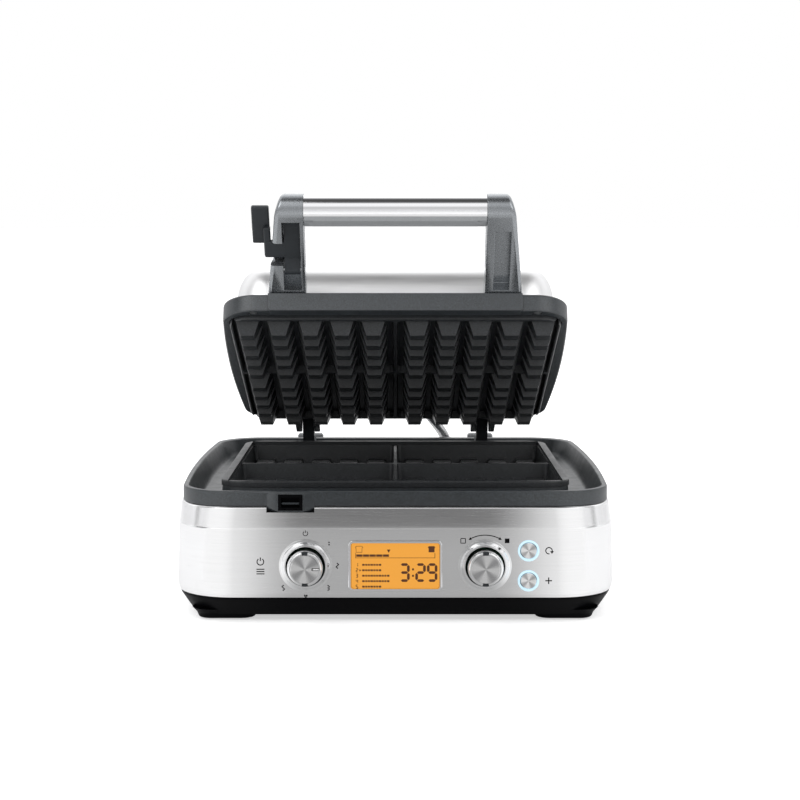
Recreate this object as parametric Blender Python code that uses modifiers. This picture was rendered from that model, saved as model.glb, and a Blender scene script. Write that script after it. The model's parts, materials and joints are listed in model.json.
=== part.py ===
"""Four-square waffle maker, modelled as separate pieces in metres, +Z up.

The front panel faces -Y. depth(d) is the Y of a plane d behind the front panel.
The lid, its handle and its plate are drawn in the closed pose and hang on the
empty lid_pivot, which turns them to the stored, partly open pose. The latch is
drawn hanging down from its pin and hangs on the empty latch_pivot in the same way.
"""
import math
from collections import namedtuple

import bmesh
import bpy
from mathutils import Euler, Matrix, Vector

# ---------------------------------------------------------------- driving sizes
BODY_WIDTH = 0.411
BODY_DEPTH = 0.413
BODY_FRONT_Y = -0.2065
BODY_RADIUS = 0.055
BODY_BOW = 0.0045                # how far the sides bulge at their middle
STEEL_BOTTOM_Z = 0.024
CREASE_Z = 0.087
STEEL_TOP_Z = 0.106
STEEL_WALL = 0.0012
SIDE_LEAN = 0.0015
BAND_SET_BACK = 0.004
FIT = 0.0003                     # gap between pieces that touch
SLIDE = 0.0006                   # gap around pieces that move

MOAT_HEIGHT = 0.014              # outer rim above the steel
MOAT_INSET = 0.007
MOAT_SIDE_INSET = 0.0055
MOAT_RIM = 0.005
MOAT_REAR_RIM = 0.011
MOAT_FLOOR_DROP = 0.019          # channel floor below the outer rim
MOAT_WALL = 0.003
SIDE_CHANNEL = 0.045             # body side to raised rim
FRONT_CHANNEL = 0.0345
REAR_CHANNEL = 0.080
RIM_RADIUS = 0.022
RAISED_RIM = 0.005               # raised rim above the outer rim

PEAKS_PER_WAFFLE = 5
DIVIDER_ZONE = 0.0058            # centre line to the first peak's cell
VALLEY = 0.0037
PEAK_DRAFT = 0.344               # sideways run for one unit of height
UPPER_WELL_DEPTH = 0.007
UPPER_PEAK_HEIGHT = 0.018
LOWER_WELL_DEPTH = 0.029
LOWER_PEAK_HEIGHT = 0.011
LOWER_DIVIDER_DROP = 0.004
LEDGE = 0.0008                   # step between the basin and the wells
PLATE_BACKING = 0.0055
PLATE_GAP = 0.0005               # between the two plates' rims when shut

LID_BORDER = 0.0105              # frame outside the upper plate at the sides
LID_FRONT_BORDER = 0.0115
FRAME_STEP = 0.0035              # plate rim below the frame's underside
FRAME_HEIGHT = 0.017
FRAME_RADIUS = 0.032
FRAME_BOW = 0.004
COVER_HEIGHT = 0.048
COVER_WALL = 0.0012
BRIDGE_WIDTH = 0.235
BRIDGE_PROUD = 0.003

HINGE_X = 0.0955
HINGE_ARM_WIDTH = 0.0125
HINGE_PIN_RADIUS = 0.003
HINGE_BOSS_RADIUS = 0.006
PIVOT_FROM_REAR = 0.026          # hinge axis ahead of the body's rear face
PIVOT_HEIGHT = 0.0105            # hinge axis above the channel floor
REST_OPEN_ANGLE = math.radians(24.6)

HANDLE_RADIUS = 0.0138
HANDLE_HEAD = 0.0146
HANDLE_REACH = 0.062             # grip axis ahead of the frame's front
HANDLE_RISE = 0.056              # grip axis above the frame's top
HANDLE_INNER = 0.0825
HANDLE_OUTER_FOOT = 0.1175
HANDLE_OUTER_HEAD = 0.106
ARM_FOOT_DEPTH = 0.0265

LATCH_X = -0.094
LATCH_WIDTH = 0.014
LATCH_HUB_ALONG = 0.022          # hub's place up the handle arm
LATCH_HUB_DEPTH = 0.0055
LATCH_HUB_RADIUS = 0.0046
LATCH_PIN_RADIUS = 0.002
SLOT_DEPTH = 0.0165

KNOB_RADIUS = 0.016
KNOB_PROUD = 0.018
KNOB_FACE_RADIUS = 0.0126
BEZEL_RADIUS = 0.0239
SHAFT_RADIUS = 0.003
BUTTON_RADIUS = 0.00715
BUTTON_RING_RADIUS = 0.00965
BUTTON_SPACING = 0.0273
LCD_WIDTH = 0.0844
LCD_HEIGHT = 0.0461
BOARD_SET_BACK = 0.0131
SLEEVE_RADIUS = 0.0055
FOOT_HALF = 0.0265

CORNER_STEPS = 7
SIDE_STEPS = 5
ROUND_STEPS = 24

Outline = namedtuple("Outline", "half_x front rear radius bow", defaults=(0.0,))


def depth(distance):
    return BODY_FRONT_Y + distance


# ------------------------------------------------------------- worked out sizes
BODY = Outline(BODY_WIDTH / 2, depth(0), depth(BODY_DEPTH), BODY_RADIUS, BODY_BOW)
RIM_TOP_Z = STEEL_TOP_Z + MOAT_HEIGHT
CHANNEL_FLOOR_Z = RIM_TOP_Z - MOAT_FLOOR_DROP
RAISED_TOP_Z = RIM_TOP_Z + RAISED_RIM
RAISED = Outline(BODY.half_x - SIDE_CHANNEL, BODY.front + FRONT_CHANNEL,
                 BODY.rear - REAR_CHANNEL, RIM_RADIUS)
UPPER = Outline(RAISED.half_x - 0.0055, RAISED.front + 0.001, RAISED.rear - 0.0015, 0.020)
UPPER_RIM_Z = RAISED_TOP_Z + PLATE_GAP
UPPER_TOP_Z = UPPER_RIM_Z + UPPER_WELL_DEPTH + PLATE_BACKING
PLATE_MID_Y = (UPPER.front + UPPER.rear) / 2
WELL_HALF_X = UPPER.half_x - 0.0025
WELL_HALF_Y = (UPPER.rear - UPPER.front) / 2 - 0.0055
PITCH_X = (WELL_HALF_X - DIVIDER_ZONE) / PEAKS_PER_WAFFLE
PITCH_Y = (WELL_HALF_Y - DIVIDER_ZONE) / PEAKS_PER_WAFFLE
LOWER_FLOOR_Z = RAISED_TOP_Z - LOWER_WELL_DEPTH
LOWER_BOTTOM_Z = LOWER_FLOOR_Z - PLATE_BACKING

FRAME_BOTTOM_Z = UPPER_RIM_Z + FRAME_STEP
FRAME_TOP_Z = FRAME_BOTTOM_Z + FRAME_HEIGHT
FRAME = Outline(UPPER.half_x + LID_BORDER, UPPER.front - LID_FRONT_BORDER,
                UPPER.rear + 0.0050, FRAME_RADIUS, FRAME_BOW)
FRAME_INNER = Outline(UPPER.half_x - 0.010, FRAME.front + 0.030, UPPER.rear - 0.0095, 0.018)
COVER = Outline(FRAME.half_x - 0.0100, FRAME.front + 0.026, FRAME.rear - 0.0065, 0.030, FRAME_BOW)
COVER_TOP_Z = FRAME_TOP_Z + COVER_HEIGHT

PIVOT = Vector((0, BODY.rear - PIVOT_FROM_REAR, CHANNEL_FLOOR_Z + PIVOT_HEIGHT))
GRIP = Vector((0, FRAME.front - HANDLE_REACH, FRAME_TOP_Z + HANDLE_RISE))
ARM_FOOT = Vector((0, FRAME.front - BRIDGE_PROUD + 0.0005, FRAME_TOP_Z + FIT))


def tangent_direction(start, centre, radius, side):
    """Unit vector in the YZ plane from start, touching the circle on one side."""
    reach = centre - start
    turn = side * math.asin(radius / reach.length)
    return Matrix.Rotation(turn, 3, "X") @ reach.normalized()


ARM_ALONG = tangent_direction(ARM_FOOT, GRIP, HANDLE_HEAD, 1)
ARM_INWARD = Matrix.Rotation(math.radians(-90), 3, "X") @ ARM_ALONG
LATCH_HUB = ARM_FOOT + ARM_ALONG * LATCH_HUB_ALONG + ARM_INWARD * LATCH_HUB_DEPTH
LATCH_SWING = math.atan2(-ARM_ALONG.y, -ARM_ALONG.z)

CATCH_FRONT_Y = depth(0.0034)
CATCH_TOP_Z = RIM_TOP_Z - 0.0054
CATCH_BOTTOM_Z = RIM_TOP_Z - 0.0145

PANEL_MID_Z = (STEEL_BOTTOM_Z + CREASE_Z) / 2 - 0.002
PANEL_SPARE = (BODY.half_x - BODY.bow - BODY.radius - LCD_WIDTH / 2 - 2 * BEZEL_RADIUS
               - 2 * BUTTON_RING_RADIUS)
KNOB_X = LCD_WIDTH / 2 + BEZEL_RADIUS + 0.39 * PANEL_SPARE
BUTTON_X = KNOB_X + BEZEL_RADIUS + BUTTON_RING_RADIUS + 0.15 * PANEL_SPARE
BEZEL_BORE = KNOB_RADIUS + 0.0012
BEZEL_SLEEVE = BEZEL_BORE + 0.0012
RING_BORE = BUTTON_RADIUS + SLIDE
RING_SLEEVE = RING_BORE + 0.0009


# ---------------------------------------------------------------------- helpers
def clear_scene():
    for item in list(bpy.data.objects):
        bpy.data.objects.remove(item)


def collection(name):
    made = bpy.data.collections.new(name)
    bpy.context.scene.collection.children.link(made)
    return made


def material(name, colour, roughness, metallic=0.0):
    made = bpy.data.materials.new(name)
    made.use_nodes = True
    shader = made.node_tree.nodes["Principled BSDF"]
    shader.inputs["Base Color"].default_value = (*colour, 1.0)
    shader.inputs["Roughness"].default_value = roughness
    shader.inputs["Metallic"].default_value = metallic
    made.diffuse_color = (*colour, 1.0)
    return made


def add_mesh(name, bm, finish=None, parent=None):
    """Turns a bmesh into an object: a part with a finish, a cutter without one."""
    bmesh.ops.recalc_face_normals(bm, faces=bm.faces)
    mesh = bpy.data.meshes.new(name)
    bm.to_mesh(mesh)
    bm.free()
    made = bpy.data.objects.new(name, mesh)
    if finish is None:
        made.hide_render = True
        made.display_type = "WIRE"
        CUTTERS.objects.link(made)
    else:
        mesh.materials.append(FINISHES[finish])
        PARTS.objects.link(made)
    if parent is not None:
        made.parent = parent
        made.location = -Vector(parent["axis_point"])
    return made


def pivot_empty(name, point, angle, parent=None):
    """An empty on a joint's axis; its children are drawn in their un-turned place."""
    made = bpy.data.objects.new(name, None)
    made.empty_display_size = 0.02
    PARTS.objects.link(made)
    made.location = point
    if parent is not None:
        made.parent = parent
        made.location = point - Vector(parent["axis_point"])
    made.rotation_euler = Euler((angle, 0, 0))
    made["axis_point"] = tuple(point)
    return made


def apply_boolean(target, tool, operation="DIFFERENCE"):
    step = target.modifiers.new(tool.name, "BOOLEAN")
    step.operation = operation
    step.object = tool
    step.solver = "EXACT"


def shrink(outline, by):
    return outline._replace(half_x=outline.half_x - by, front=outline.front + by,
                            rear=outline.rear - by, radius=max(outline.radius - by, 0.001))


def lean(outline, by):
    """Sides and rear move in, the front panel stays upright."""
    return outline._replace(half_x=outline.half_x - by, rear=outline.rear - by)


def ring_points(outline, z):
    """Points round a rounded rectangle whose two sides bulge by bow at their middle."""
    half_x, front, rear, radius, bow = outline
    inner_x = half_x - bow - radius
    half_side = (rear - front) / 2 - radius
    middle = (front + rear) / 2
    corners = ((inner_x, front + radius, -90), (inner_x, rear - radius, 0),
               (-inner_x, rear - radius, 90), (-inner_x, front + radius, 180))
    points = []
    for x, y, start in corners:
        for step in range(CORNER_STEPS + 1):
            angle = math.radians(start + 90 * step / CORNER_STEPS)
            points.append((x + radius * math.cos(angle), y + radius * math.sin(angle), z))
        if start in (-90, 90):
            side = 1 if start < 0 else -1
            for step in range(1, SIDE_STEPS):
                share = 2 * step / SIDE_STEPS - 1
                points.append((side * (half_x - bow * share * share), middle + side * half_side * share, z))
    return points


def skin_rings(bm, rings, capped, shift_x=0.0):
    """Skins rounded rectangles: a closed section swept round, or a capped solid."""
    shift = Vector((shift_x, 0, 0))
    loops = [[bm.verts.new(Vector(point) + shift) for point in ring_points(*ring)] for ring in rings]
    pairs = list(zip(loops, loops[1:]))
    if capped:
        bm.faces.new(list(reversed(loops[0])))
        bm.faces.new(loops[-1])
    else:
        pairs.append((loops[-1], loops[0]))
    for below, above in pairs:
        for index in range(len(below)):
            after = (index + 1) % len(below)
            bm.faces.new((below[index], below[after], above[after], above[index]))


def loft(name, rings, finish=None, parent=None, capped=False):
    bm = bmesh.new()
    skin_rings(bm, rings, capped)
    return add_mesh(name, bm, finish, parent)


def add_box(bm, low, high, bevel=0.0, segments=1):
    low, high = Vector(low), Vector(high)
    placed = Matrix.Translation((low + high) / 2) @ Matrix.Diagonal((*(high - low), 1))
    made = bmesh.ops.create_cube(bm, size=1, matrix=placed)
    if bevel:
        edges = list({edge for vert in made["verts"] for edge in vert.link_edges})
        bmesh.ops.bevel(bm, geom=edges, offset=bevel, segments=segments, affect="EDGES",
                        profile=0.5)


def box(name, low, high, finish=None, parent=None, bevel=0.0, segments=1):
    bm = bmesh.new()
    add_box(bm, low, high, bevel, segments)
    return add_mesh(name, bm, finish, parent)


def cylinder(name, centre, radius, length, finish=None, parent=None, axis="X", sides=20):
    bm = bmesh.new()
    turn = {"X": Euler((0, math.pi / 2, 0)), "Y": Euler((math.pi / 2, 0, 0)),
            "Z": Euler((0, 0, 0))}[axis]
    bmesh.ops.create_cone(bm, cap_ends=True, segments=sides, radius1=radius, radius2=radius,
                          depth=length, matrix=Matrix.Translation(centre) @ turn.to_matrix().to_4x4())
    return add_mesh(name, bm, finish, parent)


def turned(name, profile, centre, finish, steps=ROUND_STEPS, closed=True):
    """A profile of (radius, height) spun about an axis that faces the front, -Y.

    A closed profile is a ring; an open one starts and ends on the axis.
    Its points run down the outer side.
    """
    mesh = bpy.data.meshes.new(name)
    count = len(profile)
    edges = [(index, index + 1) for index in range(count - 1)]
    if closed:
        edges.append((count - 1, 0))
    mesh.from_pydata([(radius, 0, height) for radius, height in profile], edges, [])
    mesh.materials.append(FINISHES[finish])
    made = bpy.data.objects.new(name, mesh)
    PARTS.objects.link(made)
    made.location = centre
    made.rotation_euler = Euler((math.pi / 2, 0, 0))
    screw = made.modifiers.new("turn", "SCREW")
    screw.steps = steps
    screw.render_steps = steps
    screw.use_merge_vertices = True
    screw.merge_threshold = 0.00001
    return made


def side_profile(name, points, x_low, x_high, finish=None, parent=None):
    """A flat outline in the YZ plane, thickened along X."""
    bm = bmesh.new()
    face = bm.faces.new([bm.verts.new((x_low, y, z)) for y, z in points])
    grown = bmesh.ops.extrude_face_region(bm, geom=[face])["geom"]
    moved = [item for item in grown if isinstance(item, bmesh.types.BMVert)]
    bmesh.ops.translate(bm, verts=moved, vec=(x_high - x_low, 0, 0))
    return add_mesh(name, bm, finish, parent)


def arc(centre, radius, start, end, steps):
    """Points on a circle in the YZ plane; angles in degrees from +Y towards +Z."""
    points = []
    for step in range(steps + 1):
        angle = math.radians(start + (end - start) * step / steps)
        points.append((centre.y + radius * math.cos(angle), centre.z + radius * math.sin(angle)))
    return points


def link_outline(first, first_radius, second, second_radius, steps=7):
    """The outline of a belt round two circles in the YZ plane."""
    reach = second - first
    heading = math.degrees(math.atan2(reach.z, reach.y))
    spread = math.degrees(math.acos((first_radius - second_radius) / reach.length))
    points = arc(first, first_radius, heading + spread, heading + 360 - spread, steps)
    return points + arc(second, second_radius, heading - spread, heading + spread, steps)


def wire(name, points, radius, finish, parent=None, resolution=2):
    """A round bar along a poly line."""
    curve = bpy.data.curves.new(name, "CURVE")
    curve.dimensions = "3D"
    curve.bevel_depth = radius
    curve.bevel_resolution = resolution
    curve.use_fill_caps = True
    curve.materials.append(FINISHES[finish])
    spline = curve.splines.new("POLY")
    spline.points.add(len(points) - 1)
    for slot, point in zip(spline.points, points):
        slot.co = (*point, 1)
    made = bpy.data.objects.new(name, curve)
    PARTS.objects.link(made)
    if parent is not None:
        made.parent = parent
        made.location = -Vector(parent["axis_point"])
    return made


def sided(side):
    return "right" if side > 0 else "left"


# ------------------------------------------------------------------------- base
def base_tray():
    foot_low_z = 0.0015
    rings = [(shrink(BODY, 0.0125), 0.0065), (shrink(BODY, 0.0090), 0.0120),
             (shrink(BODY, 0.0020), STEEL_BOTTOM_Z - FIT),
             (shrink(BODY, 0.0036), STEEL_BOTTOM_Z - FIT),
             (shrink(BODY, 0.0036), STEEL_BOTTOM_Z + 0.0055),
             (shrink(BODY, 0.0062), STEEL_BOTTOM_Z + 0.0055),
             (shrink(BODY, 0.0062), STEEL_BOTTOM_Z), (shrink(BODY, 0.0125), 0.0140),
             (shrink(BODY, 0.0155), 0.0095)]
    tray = loft("base_tray", rings, "black_plastic", capped=True)
    feet = bmesh.new()
    recesses = bmesh.new()
    foot_x = BODY.half_x - BODY.bow - 0.047
    for side in (-1, 1):
        for y in (BODY.front + 0.044, BODY.rear - 0.044):
            sole = Outline(FOOT_HALF, y - FOOT_HALF, y + FOOT_HALF, FOOT_HALF / 2)
            skin_rings(feet, [(sole, foot_low_z), (shrink(sole, -0.002), 0.0105)], True, side * foot_x)
            bmesh.ops.create_cone(recesses, cap_ends=True, segments=20, radius1=0.0104,
                                  radius2=0.0104, depth=0.004,
                                  matrix=Matrix.Translation((side * foot_x, y, foot_low_z)))
            name = f"rubber_foot_{'front' if y < 0 else 'rear'}_{sided(side)}"
            cylinder(name, (side * foot_x, y, 0.0016), 0.0100, 0.0032, "rubber", axis="Z")
    apply_boolean(tray, add_mesh("foot_blocks", feet), "UNION")
    apply_boolean(tray, add_mesh("foot_recesses", recesses))
    vents = bmesh.new()
    vent_count = 9
    for row_y in (BODY.front + 0.110, BODY.rear - 0.110):
        for index in range(vent_count):
            x = (index - (vent_count - 1) / 2) * 0.016
            add_box(vents, (x - 0.0025, row_y - 0.025, 0.0), (x + 0.0025, row_y + 0.025, 0.02))
    apply_boolean(tray, add_mesh("vent_slots", vents))


def steel_wrap():
    wall = STEEL_WALL
    outer = [(shrink(BODY, 0.0020), STEEL_BOTTOM_Z), (shrink(BODY, 0.0006), STEEL_BOTTOM_Z + 0.003),
             (BODY, STEEL_BOTTOM_Z + 0.009), (BODY, STEEL_BOTTOM_Z + 0.021),
             (lean(BODY, SIDE_LEAN), CREASE_Z), (shrink(BODY, SIDE_LEAN + 0.0006), CREASE_Z + 0.0008),
             (shrink(BODY, BAND_SET_BACK), STEEL_TOP_Z - 0.0012),
             (shrink(BODY, BAND_SET_BACK + 0.0012), STEEL_TOP_Z)]
    lip = shrink(BODY, 0.012)
    inner = [(lip, STEEL_TOP_Z), (lip, STEEL_TOP_Z - wall),
             (shrink(BODY, BAND_SET_BACK + wall), STEEL_TOP_Z - 2 * wall),
             (shrink(BODY, SIDE_LEAN + wall), CREASE_Z),
             (shrink(BODY, wall), STEEL_BOTTOM_Z + 0.021),
             (shrink(BODY, 0.0020 + wall), STEEL_BOTTOM_Z)]
    wrap = loft("steel_wrap", outer + inner, "brushed_steel")
    for side in (-1, 1):
        apply_boolean(wrap, cylinder(f"knob_hole_{sided(side)}", (side * KNOB_X, BODY.front, PANEL_MID_Z),
                                     BEZEL_SLEEVE + FIT, 0.02, axis="Y", sides=28))
    for name, z in button_rows():
        apply_boolean(wrap, cylinder(f"button_hole_{name}", (BUTTON_X, BODY.front, z),
                                     RING_SLEEVE + FIT, 0.02, axis="Y"))
    half_x = LCD_WIDTH / 2 - 0.0014 + FIT
    half_z = LCD_HEIGHT / 2 - 0.0014 + FIT
    apply_boolean(wrap, box("display_hole", (-half_x, BODY.front - 0.01, PANEL_MID_Z - half_z),
                            (half_x, BODY.front + 0.01, PANEL_MID_Z + half_z)))
    low, high = catch_housing_box()
    grown = Vector((FIT, FIT, FIT))
    apply_boolean(wrap, box("catch_notch", low - grown, high + grown))
    apply_boolean(wrap, cylinder("gland_hole", (-0.120, BODY.rear, 0.052), 0.0085 + FIT, 0.02, axis="Y"))


def catch_housing_box():
    """The box that holds the latch catch on the front of the drip moat."""
    low = Vector((LATCH_X - 0.0212, CATCH_FRONT_Y, RIM_TOP_Z - 0.0185))
    high = Vector((LATCH_X + 0.0212, BODY.front + MOAT_INSET + 0.008, RIM_TOP_Z))
    return low, high


def moat_frame():
    outer = shrink(BODY, MOAT_INSET)._replace(half_x=BODY.half_x - MOAT_SIDE_INSET)
    inside_lip = shrink(BODY, 0.012 + FIT)
    top_inner = Outline(outer.half_x - MOAT_RIM, outer.front + MOAT_RIM,
                        outer.rear - MOAT_REAR_RIM, outer.radius - MOAT_RIM, outer.bow)
    floor_outer = Outline(top_inner.half_x - 0.008, top_inner.front + 0.007,
                          top_inner.rear - 0.0012, top_inner.radius - 0.006, outer.bow)
    collar = shrink(RAISED, 0.001)
    collar_top_z = RAISED_TOP_Z - 0.0057 - FIT
    rings = [(outer, STEEL_TOP_Z + FIT), (outer, RIM_TOP_Z - 0.002),
             (shrink(outer, 0.0008), RIM_TOP_Z - 0.0006), (shrink(outer, 0.002), RIM_TOP_Z),
             (top_inner, RIM_TOP_Z),
             (shrink(top_inner, 0.0008), RIM_TOP_Z - 0.0012),
             (floor_outer, CHANNEL_FLOOR_Z + 0.002), (shrink(floor_outer, 0.003), CHANNEL_FLOOR_Z),
             (shrink(collar, -0.005), CHANNEL_FLOOR_Z), (shrink(collar, -0.001), CHANNEL_FLOOR_Z + 0.003),
             (collar, collar_top_z), (shrink(collar, MOAT_WALL), collar_top_z),
             (shrink(collar, MOAT_WALL), CHANNEL_FLOOR_Z - MOAT_WALL),
             (inside_lip, CHANNEL_FLOOR_Z - MOAT_WALL), (inside_lip, STEEL_TOP_Z + FIT)]
    frame = loft("moat_frame", rings, "textured_casting")
    low, high = catch_housing_box()
    x_mid = LATCH_X
    bm = bmesh.new()
    chamfer = 0.0034
    plan = [(low.x, high.y), (low.x, low.y + chamfer), (low.x + chamfer, low.y),
            (high.x - chamfer, low.y), (high.x, low.y + chamfer), (high.x, high.y)]
    base = bm.faces.new([bm.verts.new((x, y, low.z)) for x, y in plan])
    grown = bmesh.ops.extrude_face_region(bm, geom=[base])["geom"]
    tops = [item for item in grown if isinstance(item, bmesh.types.BMVert)]
    bmesh.ops.translate(bm, verts=tops, vec=(0, 0, high.z - low.z))
    apply_boolean(frame, add_mesh("catch_housing", bm), "UNION")
    pocket = box("catch_pocket", (x_mid - 0.0110, low.y - 0.01, CATCH_BOTTOM_Z - 0.0028),
                 (x_mid + 0.0110, low.y + 0.0068, CATCH_TOP_Z + 0.0028))
    apply_boolean(frame, pocket)
    insert_low = Vector((x_mid - 0.0107, CATCH_FRONT_Y + 0.0002, CATCH_BOTTOM_Z - 0.0025))
    insert_high = Vector((x_mid + 0.0107, CATCH_FRONT_Y + 0.0065, CATCH_TOP_Z + 0.0025))
    insert = box("catch_insert", insert_low, insert_high, "black_plastic")
    window = box("catch_window", (x_mid - 0.0083, insert_low.y - 0.01, CATCH_BOTTOM_Z),
                 (x_mid + 0.0083, insert_high.y - 0.0010, CATCH_TOP_Z))
    apply_boolean(insert, window)
    for side in (-1, 1):
        half = HINGE_ARM_WIDTH / 2 + 0.001
        apply_boolean(frame, box(f"arm_notch_{sided(side)}",
                                 (side * HINGE_X - half, PIVOT.y + 0.004, PIVOT.z - 0.0025),
                                 (side * HINGE_X + half, BODY.rear, RIM_TOP_Z + 0.01)))
    bar_z = CATCH_BOTTOM_Z + 0.0036
    box("catch_bar", (x_mid - 0.0083 + FIT, CATCH_FRONT_Y + 0.0012, bar_z - 0.0009),
        (x_mid + 0.0083 - FIT, CATCH_FRONT_Y + 0.0030, bar_z + 0.0009), "plain_steel")


# ----------------------------------------------------------------- waffle plates
def cell_centres(pitch):
    """Peak centres along one direction, both sides of the divider."""
    one_side = [DIVIDER_ZONE + pitch * (index + 0.5) for index in range(PEAKS_PER_WAFFLE)]
    return [-value for value in reversed(one_side)] + one_side


def peak_field(name, root_z, height, up, parent=None):
    """All peaks of one plate: square frustums sunk a little into the well floors."""
    sink = 0.0006
    tall = height + sink
    base_x = PITCH_X - VALLEY
    base_y = PITCH_Y - VALLEY
    tip_x = base_x - 2 * PEAK_DRAFT * tall
    bm = bmesh.new()
    root_two = math.sqrt(2)
    for x in cell_centres(PITCH_X):
        for y in cell_centres(PITCH_Y):
            cone = bmesh.ops.create_cone(bm, cap_ends=True, segments=4,
                                         radius1=base_x / root_two, radius2=tip_x / root_two,
                                         depth=tall, matrix=Matrix.Rotation(math.pi / 4, 4, "Z"))
            for vert in cone["verts"]:
                vert.co.y *= (base_y - (base_x - abs(vert.co.x) * 2)) / (abs(vert.co.x) * 2)
                vert.co.z = up * (vert.co.z + tall / 2 - sink)
            bmesh.ops.translate(bm, verts=cone["verts"], vec=(x, y + PLATE_MID_Y, root_z))
    return add_mesh(name, bm, None, parent)


def well_cutters(name, opening_z, floor_z, past, half_divider, draft, parent=None):
    """Four tapered blocks, one for each waffle."""
    bm = bmesh.new()
    for side_x in (-1, 1):
        for side_y in (-1, 1):
            low = Vector((half_divider, half_divider, min(opening_z, floor_z)))
            high = Vector((WELL_HALF_X, WELL_HALF_Y, max(opening_z, floor_z)))
            made = bmesh.ops.create_cube(bm, size=1, matrix=Matrix.Translation((low + high) / 2)
                                         @ Matrix.Diagonal((*(high - low), 1)))
            middle = (low + high) / 2
            for vert in made["verts"]:
                at_floor = abs(vert.co.z - floor_z) < 1e-6
                pull = draft if at_floor else 0.0
                vert.co.x -= math.copysign(pull, vert.co.x - middle.x)
                vert.co.y -= math.copysign(pull, vert.co.y - middle.y)
                if not at_floor:
                    vert.co.z += past
                vert.co.x *= side_x
                vert.co.y = vert.co.y * side_y + PLATE_MID_Y
    return add_mesh(name, bm, None, parent)


def lower_plate():
    skirt = shrink(RAISED, 0.001 + MOAT_WALL + FIT)
    flange_z = RAISED_TOP_Z - 0.0057
    rings = [(shrink(skirt, 0.001), LOWER_BOTTOM_Z), (skirt, LOWER_BOTTOM_Z + 0.004),
             (skirt, flange_z), (RAISED, flange_z), (RAISED, RAISED_TOP_Z - 0.0012),
             (shrink(RAISED, 0.0012), RAISED_TOP_Z)]
    plate = loft("lower_plate", rings, "non_stick", capped=True)
    divider_z = RAISED_TOP_Z - LOWER_DIVIDER_DROP
    basin_x = WELL_HALF_X + LEDGE
    basin_y = WELL_HALF_Y + LEDGE
    basin = box("lower_basin", (-basin_x, PLATE_MID_Y - basin_y, divider_z),
                (basin_x, PLATE_MID_Y + basin_y, RAISED_TOP_Z + 0.01))
    apply_boolean(plate, basin)
    apply_boolean(plate, well_cutters("lower_wells", divider_z, LOWER_FLOOR_Z, 0.002, 0.0014, 0.0026))
    apply_boolean(plate, peak_field("lower_peaks", LOWER_FLOOR_Z, LOWER_PEAK_HEIGHT, 1), "UNION")


def upper_plate(lid):
    rings = [(shrink(UPPER, 0.0010), UPPER_RIM_Z), (UPPER, UPPER_RIM_Z + 0.0010),
             (UPPER, UPPER_TOP_Z)]
    plate = loft("upper_plate", rings, "non_stick", lid, capped=True)
    floor_z = UPPER_RIM_Z + UPPER_WELL_DEPTH
    apply_boolean(plate, well_cutters("upper_wells", UPPER_RIM_Z, floor_z, -0.002, 0.0016, 0.0012, lid))
    apply_boolean(plate, peak_field("upper_peaks", floor_z, UPPER_PEAK_HEIGHT, -1, lid), "UNION")


def element_route(z, half_x, half_y):
    """A heating element's rounded loop with its two ends at the rear."""
    radius = 0.030
    gap = 0.020
    points = [(gap, PLATE_MID_Y + half_y)]
    corners = ((half_x, half_y, 90), (half_x, -half_y, 0), (-half_x, -half_y, -90),
               (-half_x, half_y, -180))
    for x, y, start in corners:
        centre_x = x - math.copysign(radius, x)
        centre_y = y - math.copysign(radius, y)
        for step in range(6):
            angle = math.radians(start - 90 * step / 5)
            points.append((centre_x + radius * math.cos(angle),
                           PLATE_MID_Y + centre_y + radius * math.sin(angle)))
    points.append((-gap, PLATE_MID_Y + half_y))
    return [(x, y, z) for x, y in points]


def heaters(lid):
    radius = 0.0033
    route = element_route(LOWER_BOTTOM_Z - FIT - radius, WELL_HALF_X * 0.56, WELL_HALF_Y * 0.56)
    wire("lower_heating_element", route, radius, "heater_steel")
    route = element_route(UPPER_TOP_Z + FIT + radius, WELL_HALF_X * 0.56, WELL_HALF_Y * 0.56)
    wire("upper_heating_element", route, radius, "heater_steel", lid)
    inner = shrink(RAISED, 0.022)
    z = LOWER_BOTTOM_Z - 0.0085
    loft("lower_heat_shield", [(shrink(inner, 0.002), z - 0.0008), (inner, z - 0.0008), (inner, z),
                               (shrink(inner, 0.002), z)], "plain_aluminium", capped=True)
    inner = shrink(COVER, 0.016)
    z = FRAME_TOP_Z + 0.004
    loft("upper_heat_shield", [(shrink(inner, 0.002), z), (inner, z), (inner, z + 0.0008),
                               (shrink(inner, 0.002), z + 0.0008)], "plain_aluminium", lid, capped=True)
    cylinder("temperature_sensor", (0, PLATE_MID_Y, LOWER_BOTTOM_Z - FIT - 0.003), 0.0075, 0.006,
             "plain_steel", axis="Z")
    cylinder("thermal_cutout", (0, PLATE_MID_Y, UPPER_TOP_Z + FIT + 0.003), 0.0075, 0.006,
             "plain_steel", lid, axis="Z")


# ------------------------------------------------------------------------ panel
def button_rows():
    return (("upper", PANEL_MID_Z + BUTTON_SPACING / 2), ("lower", PANEL_MID_Z - BUTTON_SPACING / 2))


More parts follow.
